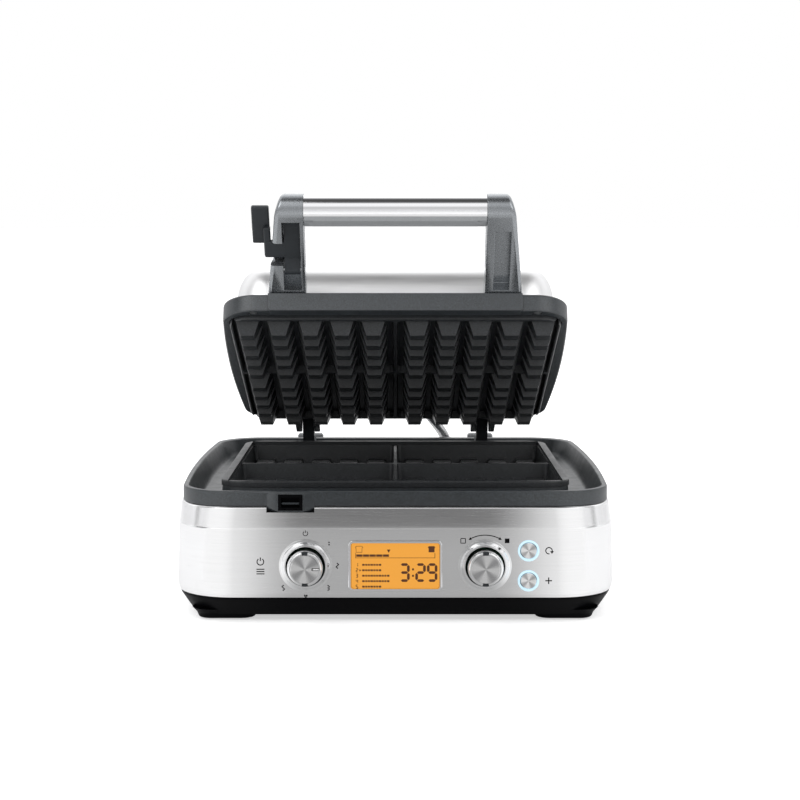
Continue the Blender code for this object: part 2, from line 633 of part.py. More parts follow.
def panel_controls():
    front = BODY.front
    for side in (-1, 1):
        name = sided(side)
        centre = Vector((side * KNOB_X, front, PANEL_MID_Z))
        flare = BEZEL_RADIUS
        turned(f"knob_bezel_{name}",
               [(BEZEL_BORE + 0.0002, 0.0056), (BEZEL_BORE + 0.0012, 0.0058),
                (flare - 0.0040, 0.0042), (flare - 0.0022, 0.0024), (flare - 0.0003, 0.0012),
                (flare, FIT), (BEZEL_SLEEVE, FIT), (BEZEL_SLEEVE, -0.004), (BEZEL_BORE, -0.004)],
               centre, "satin_silver")
        bore = SHAFT_RADIUS + FIT
        recess = KNOB_FACE_RADIUS + FIT
        turned(f"knob_{name}",
               [(0, KNOB_PROUD - 0.0016), (recess, KNOB_PROUD - 0.0016),
                (recess, KNOB_PROUD - 0.0004), (KNOB_RADIUS - 0.0012, KNOB_PROUD - 0.0004),
                (KNOB_RADIUS - 0.0002, KNOB_PROUD - 0.0014), (KNOB_RADIUS, -0.0030), (bore, -0.0030),
                (bore, KNOB_PROUD - 0.0050), (0, KNOB_PROUD - 0.0050)],
               centre, "satin_silver", closed=False)
        turned(f"knob_face_{name}",
               [(0, KNOB_PROUD), (KNOB_FACE_RADIUS - 0.0005, KNOB_PROUD),
                (KNOB_FACE_RADIUS, KNOB_PROUD - 0.0004),
                (KNOB_FACE_RADIUS, KNOB_PROUD - 0.0016 + FIT), (0, KNOB_PROUD - 0.0016 + FIT)],
               centre, "spun_steel", closed=False)
        turned(f"encoder_shaft_{name}",
               [(0, KNOB_PROUD - 0.0050 - FIT), (SHAFT_RADIUS, KNOB_PROUD - 0.0050 - FIT),
                (SHAFT_RADIUS, -0.0085), (0, -0.0085)],
               centre, "plain_steel", steps=16, closed=False)
        body = box(f"encoder_{name}", centre + Vector((-0.007, 0.0038, -0.007)),
                   centre + Vector((0.007, BOARD_SET_BACK - FIT, 0.007)), "dark_plastic")
        apply_boolean(body, cylinder(f"encoder_bore_{name}", centre + Vector((0, 0.004, 0)), bore,
                                     0.0100, axis="Y", sides=16))
    for name, z in button_rows():
        centre = Vector((BUTTON_X, front, z))
        turned(f"button_ring_{name}",
               [(RING_BORE + 0.0001, 0.0016), (BUTTON_RING_RADIUS - 0.0010, 0.0016),
                (BUTTON_RING_RADIUS - 0.0002, 0.0010), (BUTTON_RING_RADIUS, FIT), (RING_SLEEVE, FIT),
                (RING_SLEEVE, -0.0030), (RING_BORE, -0.0030)],
               centre, "lit_ring")
        turned(f"button_{name}",
               [(0, 0.0012), (BUTTON_RADIUS - 0.0006, 0.0014), (BUTTON_RADIUS, 0.0009),
                (BUTTON_RADIUS, -0.0055), (0, -0.0055)],
               centre, "spun_steel", closed=False)
        box(f"button_switch_{name}", centre + Vector((-0.003, 0.0078, -0.003)),
            centre + Vector((0.003, BOARD_SET_BACK - FIT, 0.003)), "dark_plastic")


def display():
    front = BODY.front
    half_x = LCD_WIDTH / 2
    half_z = LCD_HEIGHT / 2
    mid = PANEL_MID_Z
    sleeve = 0.0014
    sight = 0.0027
    bezel = box("display_bezel", (-half_x, front - 0.0022, mid - half_z),
                (half_x, front - FIT, mid + half_z), "satin_silver", bevel=0.0009)
    apply_boolean(bezel, box("display_sleeve", (-half_x + sleeve, front - 0.001, mid - half_z + sleeve),
                             (half_x - sleeve, front + 0.003, mid + half_z - sleeve)), "UNION")
    apply_boolean(bezel, box("display_sight", (-half_x + sight, front - 0.01, mid - half_z + sight),
                             (half_x - sight, front + 0.01, mid + half_z - sight)))
    inset = sight + FIT
    box("display_window", (-half_x + inset, front - 0.0010, mid - half_z + inset),
        (half_x - inset, front + 0.0006, mid + half_z - inset), "amber_window")
    box("display_module", (-half_x + inset, front + 0.0006 + FIT, mid - half_z + inset),
        (half_x - inset, front + 0.0090, mid + half_z - inset), "dark_plastic")


def boards():
    front = BODY.front + BOARD_SET_BACK
    edge_x = BUTTON_X + 0.008
    box("control_board", (-KNOB_X - 0.016, front, PANEL_MID_Z - 0.023),
        (edge_x, front + 0.0016, PANEL_MID_Z + 0.023), "board_green")
    low = Vector((-0.090, BODY.rear - 0.120, STEEL_BOTTOM_Z))
    board = box("power_board", low, low + Vector((0.130, 0.080, 0.0016)), "board_green")
    parts = bmesh.new()
    for x, y, width, length, height in ((0.010, 0.010, 0.036, 0.030, 0.024), (0.060, 0.014, 0.020, 0.018, 0.016),
                                        (0.090, 0.012, 0.014, 0.030, 0.020), (0.060, 0.048, 0.040, 0.016, 0.012)):
        add_box(parts, low + Vector((x, y, 0.001)), low + Vector((x + width, y + length, height)))
    apply_boolean(board, add_mesh("power_components", parts), "UNION")


# ----------------------------------------------------------------------- hinges
def hinges(lid):
    for side in (-1, 1):
        name = sided(side)
        x = side * HINGE_X
        half = HINGE_ARM_WIDTH / 2
        axis = Vector((x, PIVOT.y, PIVOT.z))
        cheek_in = half + SLIDE
        cheek_out = cheek_in + 0.0025
        low_z = CHANNEL_FLOOR_Z + FIT
        bracket = box(f"hinge_bracket_{name}", (x - cheek_out, PIVOT.y - 0.008, low_z),
                      (x + cheek_out, PIVOT.y + 0.0035, PIVOT.z), "plain_steel")
        cheeks = bmesh.new()
        for low, high in ((-cheek_out, -cheek_in), (cheek_in, cheek_out)):
            turn = Matrix.Rotation(math.pi / 2, 4, "Y")
            bmesh.ops.create_cone(cheeks, cap_ends=True, segments=20, radius1=HINGE_BOSS_RADIUS,
                                  radius2=HINGE_BOSS_RADIUS, depth=high - low,
                                  matrix=Matrix.Translation((x + (low + high) / 2, PIVOT.y, PIVOT.z)) @ turn)
        apply_boolean(bracket, add_mesh(f"bracket_cheeks_{name}", cheeks), "UNION")
        apply_boolean(bracket, box(f"bracket_gap_{name}", (x - cheek_in, PIVOT.y - 0.02, low_z + 0.002),
                                   (x + cheek_in, PIVOT.y + 0.02, PIVOT.z + 0.02)))
        apply_boolean(bracket, cylinder(f"bracket_bore_{name}", axis, HINGE_PIN_RADIUS + FIT, 0.05))
        cylinder(f"hinge_pin_{name}", axis, HINGE_PIN_RADIUS, 2 * cheek_out + 0.002, "plain_steel")
        upper_end = Vector((0, FRAME.rear + 0.018, FRAME_BOTTOM_Z + 0.008))
        arm = side_profile(f"hinge_arm_{name}", link_outline(PIVOT, HINGE_BOSS_RADIUS, upper_end, 0.0060),
                           x - half, x + half, "dark_casting", lid)
        apply_boolean(arm, cylinder(f"arm_bore_{name}", axis, HINGE_PIN_RADIUS + FIT, 0.05, parent=lid))
        cover_low = Vector((x - 0.0143, BODY.rear + FIT, STEEL_BOTTOM_Z + 0.040))
        box(f"hinge_cover_{name}", cover_low,
            (x + 0.0143, BODY.rear + 0.0120, RIM_TOP_Z + 0.0028), "grey_plastic", bevel=0.002)


def lid_lugs():
    """The two forked lugs that hold the hinge arms on the lid frame's rear."""
    bm = bmesh.new()
    gap = HINGE_ARM_WIDTH / 2 + FIT
    for side in (-1, 1):
        for low, high in ((-gap - 0.0065, -gap), (gap, gap + 0.0065)):
            x = side * HINGE_X
            add_box(bm, (x + low, FRAME.rear - 0.001, FRAME_BOTTOM_Z - 0.009),
                    (x + high, FRAME.rear + 0.024, FRAME_BOTTOM_Z + 0.0155))
    return bm


# -------------------------------------------------------------------------- lid
def lid_frame(lid):
    pocket = shrink(UPPER, -FIT - 0.0003)
    rings = [(shrink(FRAME, 0.0010), FRAME_BOTTOM_Z), (FRAME, FRAME_BOTTOM_Z + 0.0012),
             (shrink(FRAME, 0.0004), FRAME_TOP_Z - 0.0018), (shrink(FRAME, 0.0020), FRAME_TOP_Z),
             (FRAME_INNER, FRAME_TOP_Z), (FRAME_INNER, UPPER_TOP_Z + FIT),
             (pocket, UPPER_TOP_Z + FIT), (pocket, FRAME_BOTTOM_Z)]
    frame = loft("lid_frame", rings, "textured_casting", lid)
    bridge = bmesh.new()
    add_box(bridge, (-BRIDGE_WIDTH / 2, FRAME.front - BRIDGE_PROUD, FRAME_BOTTOM_Z - 0.0006),
            (BRIDGE_WIDTH / 2, FRAME.front + 0.008, FRAME_TOP_Z))
    corners = [edge for edge in bridge.edges
               if all(vert.co.z < FRAME_TOP_Z - 0.001 for vert in edge.verts)
               and abs(edge.verts[0].co.x - edge.verts[1].co.x) < 1e-6]
    bmesh.ops.bevel(bridge, geom=corners, offset=0.003, segments=3, affect="EDGES", profile=0.5)
    apply_boolean(frame, add_mesh("bridge_block", bridge, parent=lid), "UNION")
    apply_boolean(frame, add_mesh("hinge_lugs", lid_lugs(), parent=lid), "UNION")
    for side in (-1, 1):
        place = Vector((side * (FRAME.half_x - 0.034), FRAME.front + 0.0058, FRAME_BOTTOM_Z))
        apply_boolean(frame, cylinder(f"screw_recess_{sided(side)}", place, 0.0042, 0.006, parent=lid,
                                      axis="Z", sides=16))
        cylinder(f"lid_screw_{sided(side)}", place + Vector((0, 0, 0.0017)), 0.0038, 0.0020,
                 "plain_steel", lid, axis="Z", sides=16)


def lid_cover(lid):
    bottom_z = FRAME_TOP_Z + FIT
    levels = ((0.0, 0.0), (0.0025, 0.48), (0.0065, 0.79), (0.0125, 0.93), (0.0210, 0.985),
              (0.0330, 1.0))
    span = COVER_TOP_Z - bottom_z
    outer = [(shrink(COVER, inset), bottom_z + share * span) for inset, share in levels]
    inner = [(shrink(COVER, inset + COVER_WALL), bottom_z + share * (span - COVER_WALL))
             for inset, share in levels]
    loft("lid_cover", list(reversed(inner)) + outer, "brushed_steel", lid, capped=True)


def arm_point(along, inward):
    return ARM_FOOT + ARM_ALONG * along + ARM_INWARD * inward


def slanted_box(name, x_low, x_high, along_low, along_high, inward_low, inward_high, parent):
    """A cutter lined up with the handle arm's front face."""
    points = [arm_point(along, inward) for along, inward in
              ((along_low, inward_low), (along_high, inward_low), (along_high, inward_high),
               (along_low, inward_high))]
    return side_profile(name, [(point.y, point.z) for point in points], x_low, x_high, parent=parent)


def handle_arm_outline():
    foot_rear = ARM_FOOT + Vector((0, ARM_FOOT_DEPTH, 0))
    rear_way = tangent_direction(foot_rear, GRIP, HANDLE_HEAD, -1)
    rear_normal = Matrix.Rotation(math.radians(-90), 3, "X") @ rear_way
    front_angle = math.degrees(math.atan2(-ARM_INWARD.z, -ARM_INWARD.y))
    rear_angle = math.degrees(math.atan2(rear_normal.z, rear_normal.y))
    head = arc(GRIP, HANDLE_HEAD, front_angle % 360, rear_angle, 14)
    return [(ARM_FOOT.y, ARM_FOOT.z)] + head + [(foot_rear.y, foot_rear.z)]


def handle(lid):
    taper = (HANDLE_OUTER_FOOT - HANDLE_OUTER_HEAD) / (GRIP.z - ARM_FOOT.z)
    for side in (-1, 1):
        name = sided(side)
        bm = bmesh.new()
        face = bm.faces.new([bm.verts.new((side * HANDLE_INNER, y, z)) for y, z in handle_arm_outline()])
        grown = bmesh.ops.extrude_face_region(bm, geom=[face])["geom"]
        outer = [item for item in grown if isinstance(item, bmesh.types.BMVert)]
        for vert in outer:
            vert.co.x = side * (HANDLE_OUTER_FOOT - taper * (vert.co.z - ARM_FOOT.z))
        rim = [edge for edge in bm.edges if all(vert in outer for vert in edge.verts)
               and not all(abs(vert.co.z - ARM_FOOT.z) < 1e-6 for vert in edge.verts)]
        bmesh.ops.bevel(bm, geom=rim, offset=0.0035, segments=2, affect="EDGES", profile=0.6)
        arm = add_mesh(f"handle_arm_{name}", bm, "satin_casting", lid)
        if side < 0:
            half = LATCH_WIDTH / 2 + 0.0012
            apply_boolean(arm, slanted_box("latch_slot", LATCH_X - half, LATCH_X + half, 0.0025, 0.076,
                                           -0.01, SLOT_DEPTH, lid))
            apply_boolean(arm, slanted_box("lever_notch", LATCH_X - 0.040, LATCH_X, 0.0295, 0.0535,
                                           -0.009, SLOT_DEPTH - 0.0012, lid))
            apply_boolean(arm, cylinder("latch_pin_bore", (LATCH_X, LATCH_HUB.y, LATCH_HUB.z),
                                        LATCH_PIN_RADIUS + FIT, 0.0215, parent=lid, sides=16))
            cylinder("latch_pin", (LATCH_X, LATCH_HUB.y, LATCH_HUB.z), LATCH_PIN_RADIUS, 0.0205,
                     "plain_steel", lid, sides=16)
        else:
            apply_boolean(arm, slanted_box("arm_pocket", 0.0900, 0.1045, 0.0025, 0.066, -0.01, 0.0125, lid))
    length = 2 * (HANDLE_INNER - FIT)
    tube = cylinder("handle_tube", GRIP, HANDLE_RADIUS, length, "polished_steel", lid, sides=32)
    strip_half = 0.0090
    groove_z = GRIP.z - 0.0095
    apply_boolean(tube, box("grip_groove", (-length, GRIP.y - strip_half, GRIP.z - 0.03),
                            (length, GRIP.y + strip_half, groove_z), parent=lid))
    rail = strip_half - FIT
    strip = [(GRIP.y - rail, groove_z - FIT), (GRIP.y - rail, GRIP.z - 0.0110),
             (GRIP.y - rail + 0.0030, GRIP.z - 0.0136), (GRIP.y + rail - 0.0030, GRIP.z - 0.0136),
             (GRIP.y + rail, GRIP.z - 0.0110), (GRIP.y + rail, groove_z - FIT)]
    side_profile("handle_grip_strip", strip, -length / 2, length / 2, "grey_plastic", lid)


def latch(latch_empty):
    """Drawn hanging straight down from its pin, as when it holds the lid shut."""
    hub = LATCH_HUB
    shank_front = CATCH_FRONT_Y - 0.0063
    shank_rear = CATCH_FRONT_Y - 0.0006
    tip_top = CATCH_TOP_Z - 0.0004
    tip_low = tip_top - 0.0031
    tip_rear = CATCH_FRONT_Y + 0.0042
    half = LATCH_WIDTH / 2
    outline = arc(hub, LATCH_HUB_RADIUS, -20, 170, 9)
    outline += [(shank_front, hub.z - 0.0075), (shank_front, tip_low + 0.0015),
                (shank_front + 0.0015, tip_low - 0.0003), (tip_rear, tip_low),
                (tip_rear, tip_top - 0.0014), (tip_rear - 0.0008, tip_top), (shank_rear, tip_top),
                (shank_rear, hub.z - 0.0100)]
    lever = side_profile("latch_lever", outline, LATCH_X - half, LATCH_X + half, "dark_plastic", latch_empty)
    apply_boolean(lever, cylinder("lever_bore", (LATCH_X, hub.y, hub.z), LATCH_PIN_RADIUS + FIT, 0.03,
                                  parent=latch_empty, sides=16))
    bar_left = LATCH_X - 0.0250
    finger = bmesh.new()
    add_box(finger, (bar_left, shank_front, hub.z - 0.0275), (LATCH_X, shank_rear, hub.z - 0.0105))
    finger_bar = add_mesh("finger_bar", finger, parent=latch_empty)
    neck = box("finger_neck", (bar_left - 0.0005, shank_front - 0.0005, hub.z - 0.0420),
               (bar_left + 0.0058, shank_rear - 0.0006, hub.z - 0.0110), parent=latch_empty, bevel=0.0008)
    paddle = box("finger_paddle", (LATCH_X - 0.0360, shank_front - 0.0052, hub.z - 0.0610),
                 (LATCH_X - 0.0200, shank_front + 0.0002, hub.z - 0.0225), parent=latch_empty, bevel=0.0012)
    for tool in (finger_bar, neck, paddle):
        apply_boolean(lever, tool, "UNION")


# --------------------------------------------------------- rear and loose pieces
def rear_fittings():
    gland_y = BODY.rear
    turned_gland = [(0.0040, 0.0075), (0.0060, 0.0075), (0.0085, 0.0050), (0.0110, 0.0030),
                    (0.0110, FIT + 0.0004), (0.0085, FIT + 0.0004), (0.0085, -0.0050), (0.0040, -0.0050)]
    gland = turned("cord_gland", turned_gland, Vector((-0.120, gland_y - 0.0006, 0.052)), "black_plastic")
    gland.rotation_euler = Euler((-math.pi / 2, 0, 0))
    socket_x = 0.058
    box("conduit_socket", (socket_x - 0.011, BODY.rear + FIT, CREASE_Z - 0.020),
        (socket_x + 0.011, BODY.rear + 0.0180, STEEL_TOP_Z), "black_plastic", bevel=0.0015)
    return Vector((socket_x, BODY.rear + 0.0095, STEEL_TOP_Z + FIT))


def lid_point(point):
    """Where a point drawn in the closed lid lies in the stored pose."""
    return PIVOT + Matrix.Rotation(-REST_OPEN_ANGLE, 3, "X") @ (Vector(point) - PIVOT)


def conduit(socket_top):
    """The flexible sleeve that takes power and sensor leads up to the lid."""
    wall = Vector((0.004, COVER.rear, FRAME_TOP_Z + 0.018))
    mouth = lid_point(wall + Vector((0, SLEEVE_RADIUS, 0)))
    straight = Vector((0, 0, 0.005))
    start = socket_top + straight
    pull = lid_point(wall + Vector((0.016, 0.024, -0.004)))
    handles = (start, start + 3 * straight, pull, mouth)
    points = [socket_top]
    count = 8
    for index in range(count + 1):
        share = index / count
        keep = 1 - share
        points.append(handles[0] * keep ** 3 + handles[1] * 3 * keep * keep * share
                      + handles[2] * 3 * keep * share * share + handles[3] * share ** 3)
    wire("conduit", points, SLEEVE_RADIUS, "sleeve_metal", resolution=3)


# ------------------------------------------------------------------------- build
clear_scene()
PARTS = collection("waffle_maker")
CUTTERS = collection("cutters")
FINISHES = {
    "brushed_steel": material("brushed_steel", (0.80, 0.80, 0.80), 0.32, 1.0),
    "polished_steel": material("polished_steel", (0.86, 0.86, 0.86), 0.10, 1.0),
    "spun_steel": material("spun_steel", (0.78, 0.78, 0.78), 0.25, 1.0),
    "plain_steel": material("plain_steel", (0.55, 0.56, 0.57), 0.40, 1.0),
    "plain_aluminium": material("plain_aluminium", (0.75, 0.75, 0.75), 0.45, 1.0),
    "heater_steel": material("heater_steel", (0.30, 0.28, 0.26), 0.50, 1.0),
    "satin_silver": material("satin_silver", (0.70, 0.70, 0.71), 0.35, 1.0),
    "satin_casting": material("satin_casting", (0.45, 0.46, 0.47), 0.42, 0.8),
    "textured_casting": material("textured_casting", (0.075, 0.08, 0.085), 0.55, 0.3),
    "dark_casting": material("dark_casting", (0.05, 0.052, 0.055), 0.45, 0.5),
    "non_stick": material("non_stick", (0.030, 0.032, 0.034), 0.45),
    "black_plastic": material("black_plastic", (0.015, 0.015, 0.016), 0.40),
    "dark_plastic": material("dark_plastic", (0.045, 0.048, 0.052), 0.50),
    "grey_plastic": material("grey_plastic", (0.50, 0.51, 0.52), 0.50),
    "rubber": material("rubber", (0.02, 0.02, 0.02), 0.90),
    "lit_ring": material("lit_ring", (0.85, 0.92, 1.0), 0.30),
    "amber_window": material("amber_window", (0.95, 0.45, 0.05), 0.15),
    "board_green": material("board_green", (0.03, 0.18, 0.07), 0.60),
    "sleeve_metal": material("sleeve_metal", (0.60, 0.60, 0.61), 0.35, 1.0),
}

LID = pivot_empty("lid_pivot", PIVOT, -REST_OPEN_ANGLE)
LATCH = pivot_empty("latch_pivot", LATCH_HUB, -LATCH_SWING, LID)

base_tray()
steel_wrap()
moat_frame()
lower_plate()
upper_plate(LID)
heaters(LID)
panel_controls()
display()
boards()
hinges(LID)
lid_frame(LID)
lid_cover(LID)
handle(LID)
latch(LATCH)
conduit(rear_fittings())
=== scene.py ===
import json
import math
from collections import namedtuple

import bmesh
import bpy
from mathutils import Euler, Matrix, Vector


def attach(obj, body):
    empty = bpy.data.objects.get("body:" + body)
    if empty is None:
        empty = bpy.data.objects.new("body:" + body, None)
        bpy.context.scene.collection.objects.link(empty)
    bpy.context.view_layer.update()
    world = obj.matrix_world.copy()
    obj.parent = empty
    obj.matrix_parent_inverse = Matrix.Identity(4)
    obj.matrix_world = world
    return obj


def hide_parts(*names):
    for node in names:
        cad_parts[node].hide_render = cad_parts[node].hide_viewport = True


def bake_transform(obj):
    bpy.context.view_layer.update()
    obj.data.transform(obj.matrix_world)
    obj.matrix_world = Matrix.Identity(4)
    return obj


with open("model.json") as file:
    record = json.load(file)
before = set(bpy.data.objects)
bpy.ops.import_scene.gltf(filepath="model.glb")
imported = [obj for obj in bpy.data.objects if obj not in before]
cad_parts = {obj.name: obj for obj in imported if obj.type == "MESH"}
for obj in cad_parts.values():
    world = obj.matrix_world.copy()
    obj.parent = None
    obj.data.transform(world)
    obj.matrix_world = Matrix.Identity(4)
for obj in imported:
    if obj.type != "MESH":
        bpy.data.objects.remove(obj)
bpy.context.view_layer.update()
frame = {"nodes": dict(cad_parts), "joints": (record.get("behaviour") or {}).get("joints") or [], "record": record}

# Looks of the waffle maker, in metres. Lid pieces are drawn in the closed pose and
# turned to the stored one, as in the CAD; the latch is drawn hanging from its pin.


# ------------------------------------------------------- sizes read from the frame
def joint(name):
    return next(item for item in frame["joints"] if item["name"] == name)


def turn_about(point, angle):
    """A rotation about an axis along X through a point."""
    place = Matrix.Translation(Vector((0, point.y, point.z)))
    return place @ Matrix.Rotation(angle, 4, "X") @ place.inverted()


STILL = Matrix.Identity(4)
PIVOT = Vector(joint("lid_open")["pos_m"])
LID = turn_about(PIVOT, math.radians(joint("lid_open")["range_deg"][0]))
HUB = LID.inverted() @ Vector(joint("latch_swing")["pos_m"])
LATCH = LID @ turn_about(HUB, -math.radians(joint("latch_swing")["range_deg"][1]))
PLACING = {"lid": LID, "latch": LATCH}


def body_name(node):
    return next(name for name, nodes in frame["record"]["behaviour"]["bodies"].items() if node in nodes)


def drawn_box(node):
    """Corners of a CAD node as it was drawn, before its placing turned it."""
    back = PLACING.get(body_name(node), STILL).inverted()
    points = [back @ vert.co for vert in frame["nodes"][node].data.vertices]
    low = Vector((min(p.x for p in points), min(p.y for p in points), min(p.z for p in points)))
    high = Vector((max(p.x for p in points), max(p.y for p in points), max(p.z for p in points)))
    return low, high


FIT = 0.0003
Outline = namedtuple("Outline", "half_x front rear radius bow", defaults=(0.0,))


def shrink(outline, by):
    return outline._replace(half_x=outline.half_x - by, front=outline.front + by,
                            rear=outline.rear - by, radius=max(outline.radius - by, 0.001))


def outline_of(node, radius, bow=0.0):
    low, high = drawn_box(node)
    return Outline(high.x, low.y, high.y, radius, bow)


BODY = outline_of("steel_wrap", 0.055, 0.0045)
STEEL_BOTTOM_Z = drawn_box("steel_wrap")[0].z
STEEL_TOP_Z = drawn_box("steel_wrap")[1].z
CREASE_Z = 0.087
BAND_SET_BACK = 0.004
BAND_SIDES = 0.0035
SIDE_LEAN = 0.0015
STEEL_WALL = 0.0012

RIM_TOP_Z = drawn_box("moat_frame")[1].z
CHANNEL_FLOOR_Z = RIM_TOP_Z - 0.019
MOAT_WALL = 0.003
RAISED = outline_of("lower_plate", 0.022)
RAISED_TOP_Z = drawn_box("lower_plate")[1].z
LOWER_BOTTOM_Z = drawn_box("lower_plate")[0].z

UPPER = outline_of("upper_plate", 0.020)
UPPER_RIM_Z = RAISED_TOP_Z + 0.0005
UPPER_TOP_Z = drawn_box("upper_plate")[1].z
PLATE_MID_Y = (UPPER.front + UPPER.rear) / 2
WELL_HALF_X = UPPER.half_x - 0.0025
WELL_HALF_Y = (UPPER.rear - UPPER.front) / 2 - 0.0055
PEAKS_PER_WAFFLE = 5
DIVIDER_ZONE = 0.0058
VALLEY = 0.0037
PEAK_DRAFT = 0.344
PITCH_X = (WELL_HALF_X - DIVIDER_ZONE) / PEAKS_PER_WAFFLE
PITCH_Y = (WELL_HALF_Y - DIVIDER_ZONE) / PEAKS_PER_WAFFLE

FRAME_BOTTOM_Z = UPPER_RIM_Z + 0.0035
FRAME_TOP_Z = drawn_box("lid_frame")[1].z
BRIDGE_PROUD = 0.003
FRAME = Outline(drawn_box("lid_frame")[1].x, drawn_box("lid_frame")[0].y + BRIDGE_PROUD,
                UPPER.rear + 0.0050, 0.032, 0.004)
COVER = outline_of("lid_cover", 0.030, 0.004)
COVER_TOP_Z = drawn_box("lid_cover")[1].z

TUBE_LOW, TUBE_HIGH = drawn_box("handle_tube")
HANDLE_RADIUS = (TUBE_HIGH.y - TUBE_LOW.y) / 2
HANDLE_HEAD = HANDLE_RADIUS + 0.0008
GRIP = Vector((0, (TUBE_LOW.y + TUBE_HIGH.y) / 2, TUBE_HIGH.z - HANDLE_RADIUS))
ARM_FOOT = Vector((0, FRAME.front - BRIDGE_PROUD + 0.0005, FRAME_TOP_Z + FIT))
LATCH_X = (drawn_box("latch_pin")[0].x + drawn_box("latch_pin")[1].x) / 2
CATCH_FRONT_Y = drawn_box("moat_frame")[0].y

KNOB_LOW, KNOB_HIGH = drawn_box("knob_right")
KNOB_X = (KNOB_LOW.x + KNOB_HIGH.x) / 2
PANEL_Z = (KNOB_LOW.z + KNOB_HIGH.z) / 2
KNOB_RADIUS = (KNOB_HIGH.x - KNOB_LOW.x) / 2
KNOB_PROUD = BODY.front - drawn_box("knob_face_right")[0].y
BEZEL_RADIUS = (drawn_box("knob_bezel_right")[1].x - drawn_box("knob_bezel_right")[0].x) / 2
BUTTON_RADIUS = (drawn_box("button_upper")[1].x - drawn_box("button_upper")[0].x) / 2
RING_RADIUS = (drawn_box("button_ring_upper")[1].x - drawn_box("button_ring_upper")[0].x) / 2
BUTTON_X = (drawn_box("button_upper")[0].x + drawn_box("button_upper")[1].x) / 2
BUTTON_ROWS = {name: (drawn_box(f"button_{name}")[0].z + drawn_box(f"button_{name}")[1].z) / 2
               for name in ("upper", "lower")}


def sided(side):
    return "right" if side > 0 else "left"


# -------------------------------------------------------------------- mesh helpers
CORNER_STEPS = 14
SIDE_STEPS = 12
ROUND_SIDES = 64


def ring_points(outline, z):
    """Points round a rounded rectangle whose two sides bulge by bow at their middle."""
    half_x, front, rear, radius, bow = outline
    inner_x = half_x - bow - radius
    half_side = (rear - front) / 2 - radius
    middle = (front + rear) / 2
    corners = ((inner_x, front + radius, -90), (inner_x, rear - radius, 0),
               (-inner_x, rear - radius, 90), (-inner_x, front + radius, 180))
    points = []
    for x, y, start in corners:
        for step in range(CORNER_STEPS + 1):
            angle = math.radians(start + 90 * step / CORNER_STEPS)
            points.append((x + radius * math.cos(angle), y + radius * math.sin(angle), z))
        if start in (-90, 90):
            side = 1 if start < 0 else -1
            for step in range(1, SIDE_STEPS):
                share = 2 * step / SIDE_STEPS - 1
                points.append((side * (half_x - bow * share * share), middle + side * half_side * share, z))
    return points


def ring_gap(first, second):
    flat = max(abs(p - q) for p, q in zip(first[0][:3], second[0][:3]))
    return max(math.hypot(flat, first[1] - second[1]), 1e-6)


def mix_rings(first, second, share):
    outline = Outline(*(p + (q - p) * share for p, q in zip(first[0], second[0])))
    return outline, first[1] + (second[1] - first[1]) * share


def soften(rings, closed=True, steps=4):
    """Rounds the corners of a swept section; each ring is (outline, z, rounding)."""
    made = []
    for index, (outline, z, rounding) in enumerate(rings):
        here = (outline, z)
        if not rounding or (not closed and index in (0, len(rings) - 1)):
            made.append(here)
            continue
        before = rings[index - 1][:2]
        after = rings[(index + 1) % len(rings)][:2]
        start = mix_rings(here, before, min(rounding / ring_gap(here, before), 0.48))
        end = mix_rings(here, after, min(rounding / ring_gap(here, after), 0.48))
        for step in range(steps + 1):
            share = step / steps
            made.append(mix_rings(mix_rings(start, here, share), mix_rings(here, end, share), share))
    return made


def skin_rings(bm, rings, capped, shift_x=0.0):
    shift = Vector((shift_x, 0, 0))
    loops = [[bm.verts.new(Vector(point) + shift) for point in ring_points(*ring)] for ring in rings]
    pairs = list(zip(loops, loops[1:]))
    if capped:
        bm.faces.new(list(reversed(loops[0])))
        bm.faces.new(loops[-1])
    else:
        pairs.append((loops[-1], loops[0]))
    for below, above in pairs:
        for index in range(len(below)):
            after = (index + 1) % len(below)
            bm.faces.new((below[index], below[after], above[after], above[index]))


def add_box(bm, low, high, rounding=0.0, steps=3):
    low, high = Vector(low), Vector(high)
    placed = Matrix.Translation((low + high) / 2) @ Matrix.Diagonal((*(high - low), 1))
    made = bmesh.ops.create_cube(bm, size=1, matrix=placed)
    if rounding:
        edges = list({edge for vert in made["verts"] for edge in vert.link_edges})
        bmesh.ops.bevel(bm, geom=edges, offset=rounding, segments=steps, affect="EDGES", profile=0.5)


AXIS_TURNS = {"X": Euler((0, math.pi / 2, 0)), "Y": Euler((math.pi / 2, 0, 0)), "Z": Euler((0, 0, 0))}


def add_cylinder(bm, centre, radius, length, axis="X", sides=ROUND_SIDES):
    turn = AXIS_TURNS[axis].to_matrix().to_4x4()
    return bmesh.ops.create_cone(bm, cap_ends=True, segments=sides, radius1=radius, radius2=radius,
                                 depth=length, matrix=Matrix.Translation(centre) @ turn)


def add_profile(bm, points, x_low, x_high):
    """A flat outline in the YZ plane, thickened along X."""
    face = bm.faces.new([bm.verts.new((x_low, y, z)) for y, z in points])
    grown = bmesh.ops.extrude_face_region(bm, geom=[face])["geom"]
    moved = [item for item in grown if isinstance(item, bmesh.types.BMVert)]
    bmesh.ops.translate(bm, verts=moved, vec=(x_high - x_low, 0, 0))
    return moved


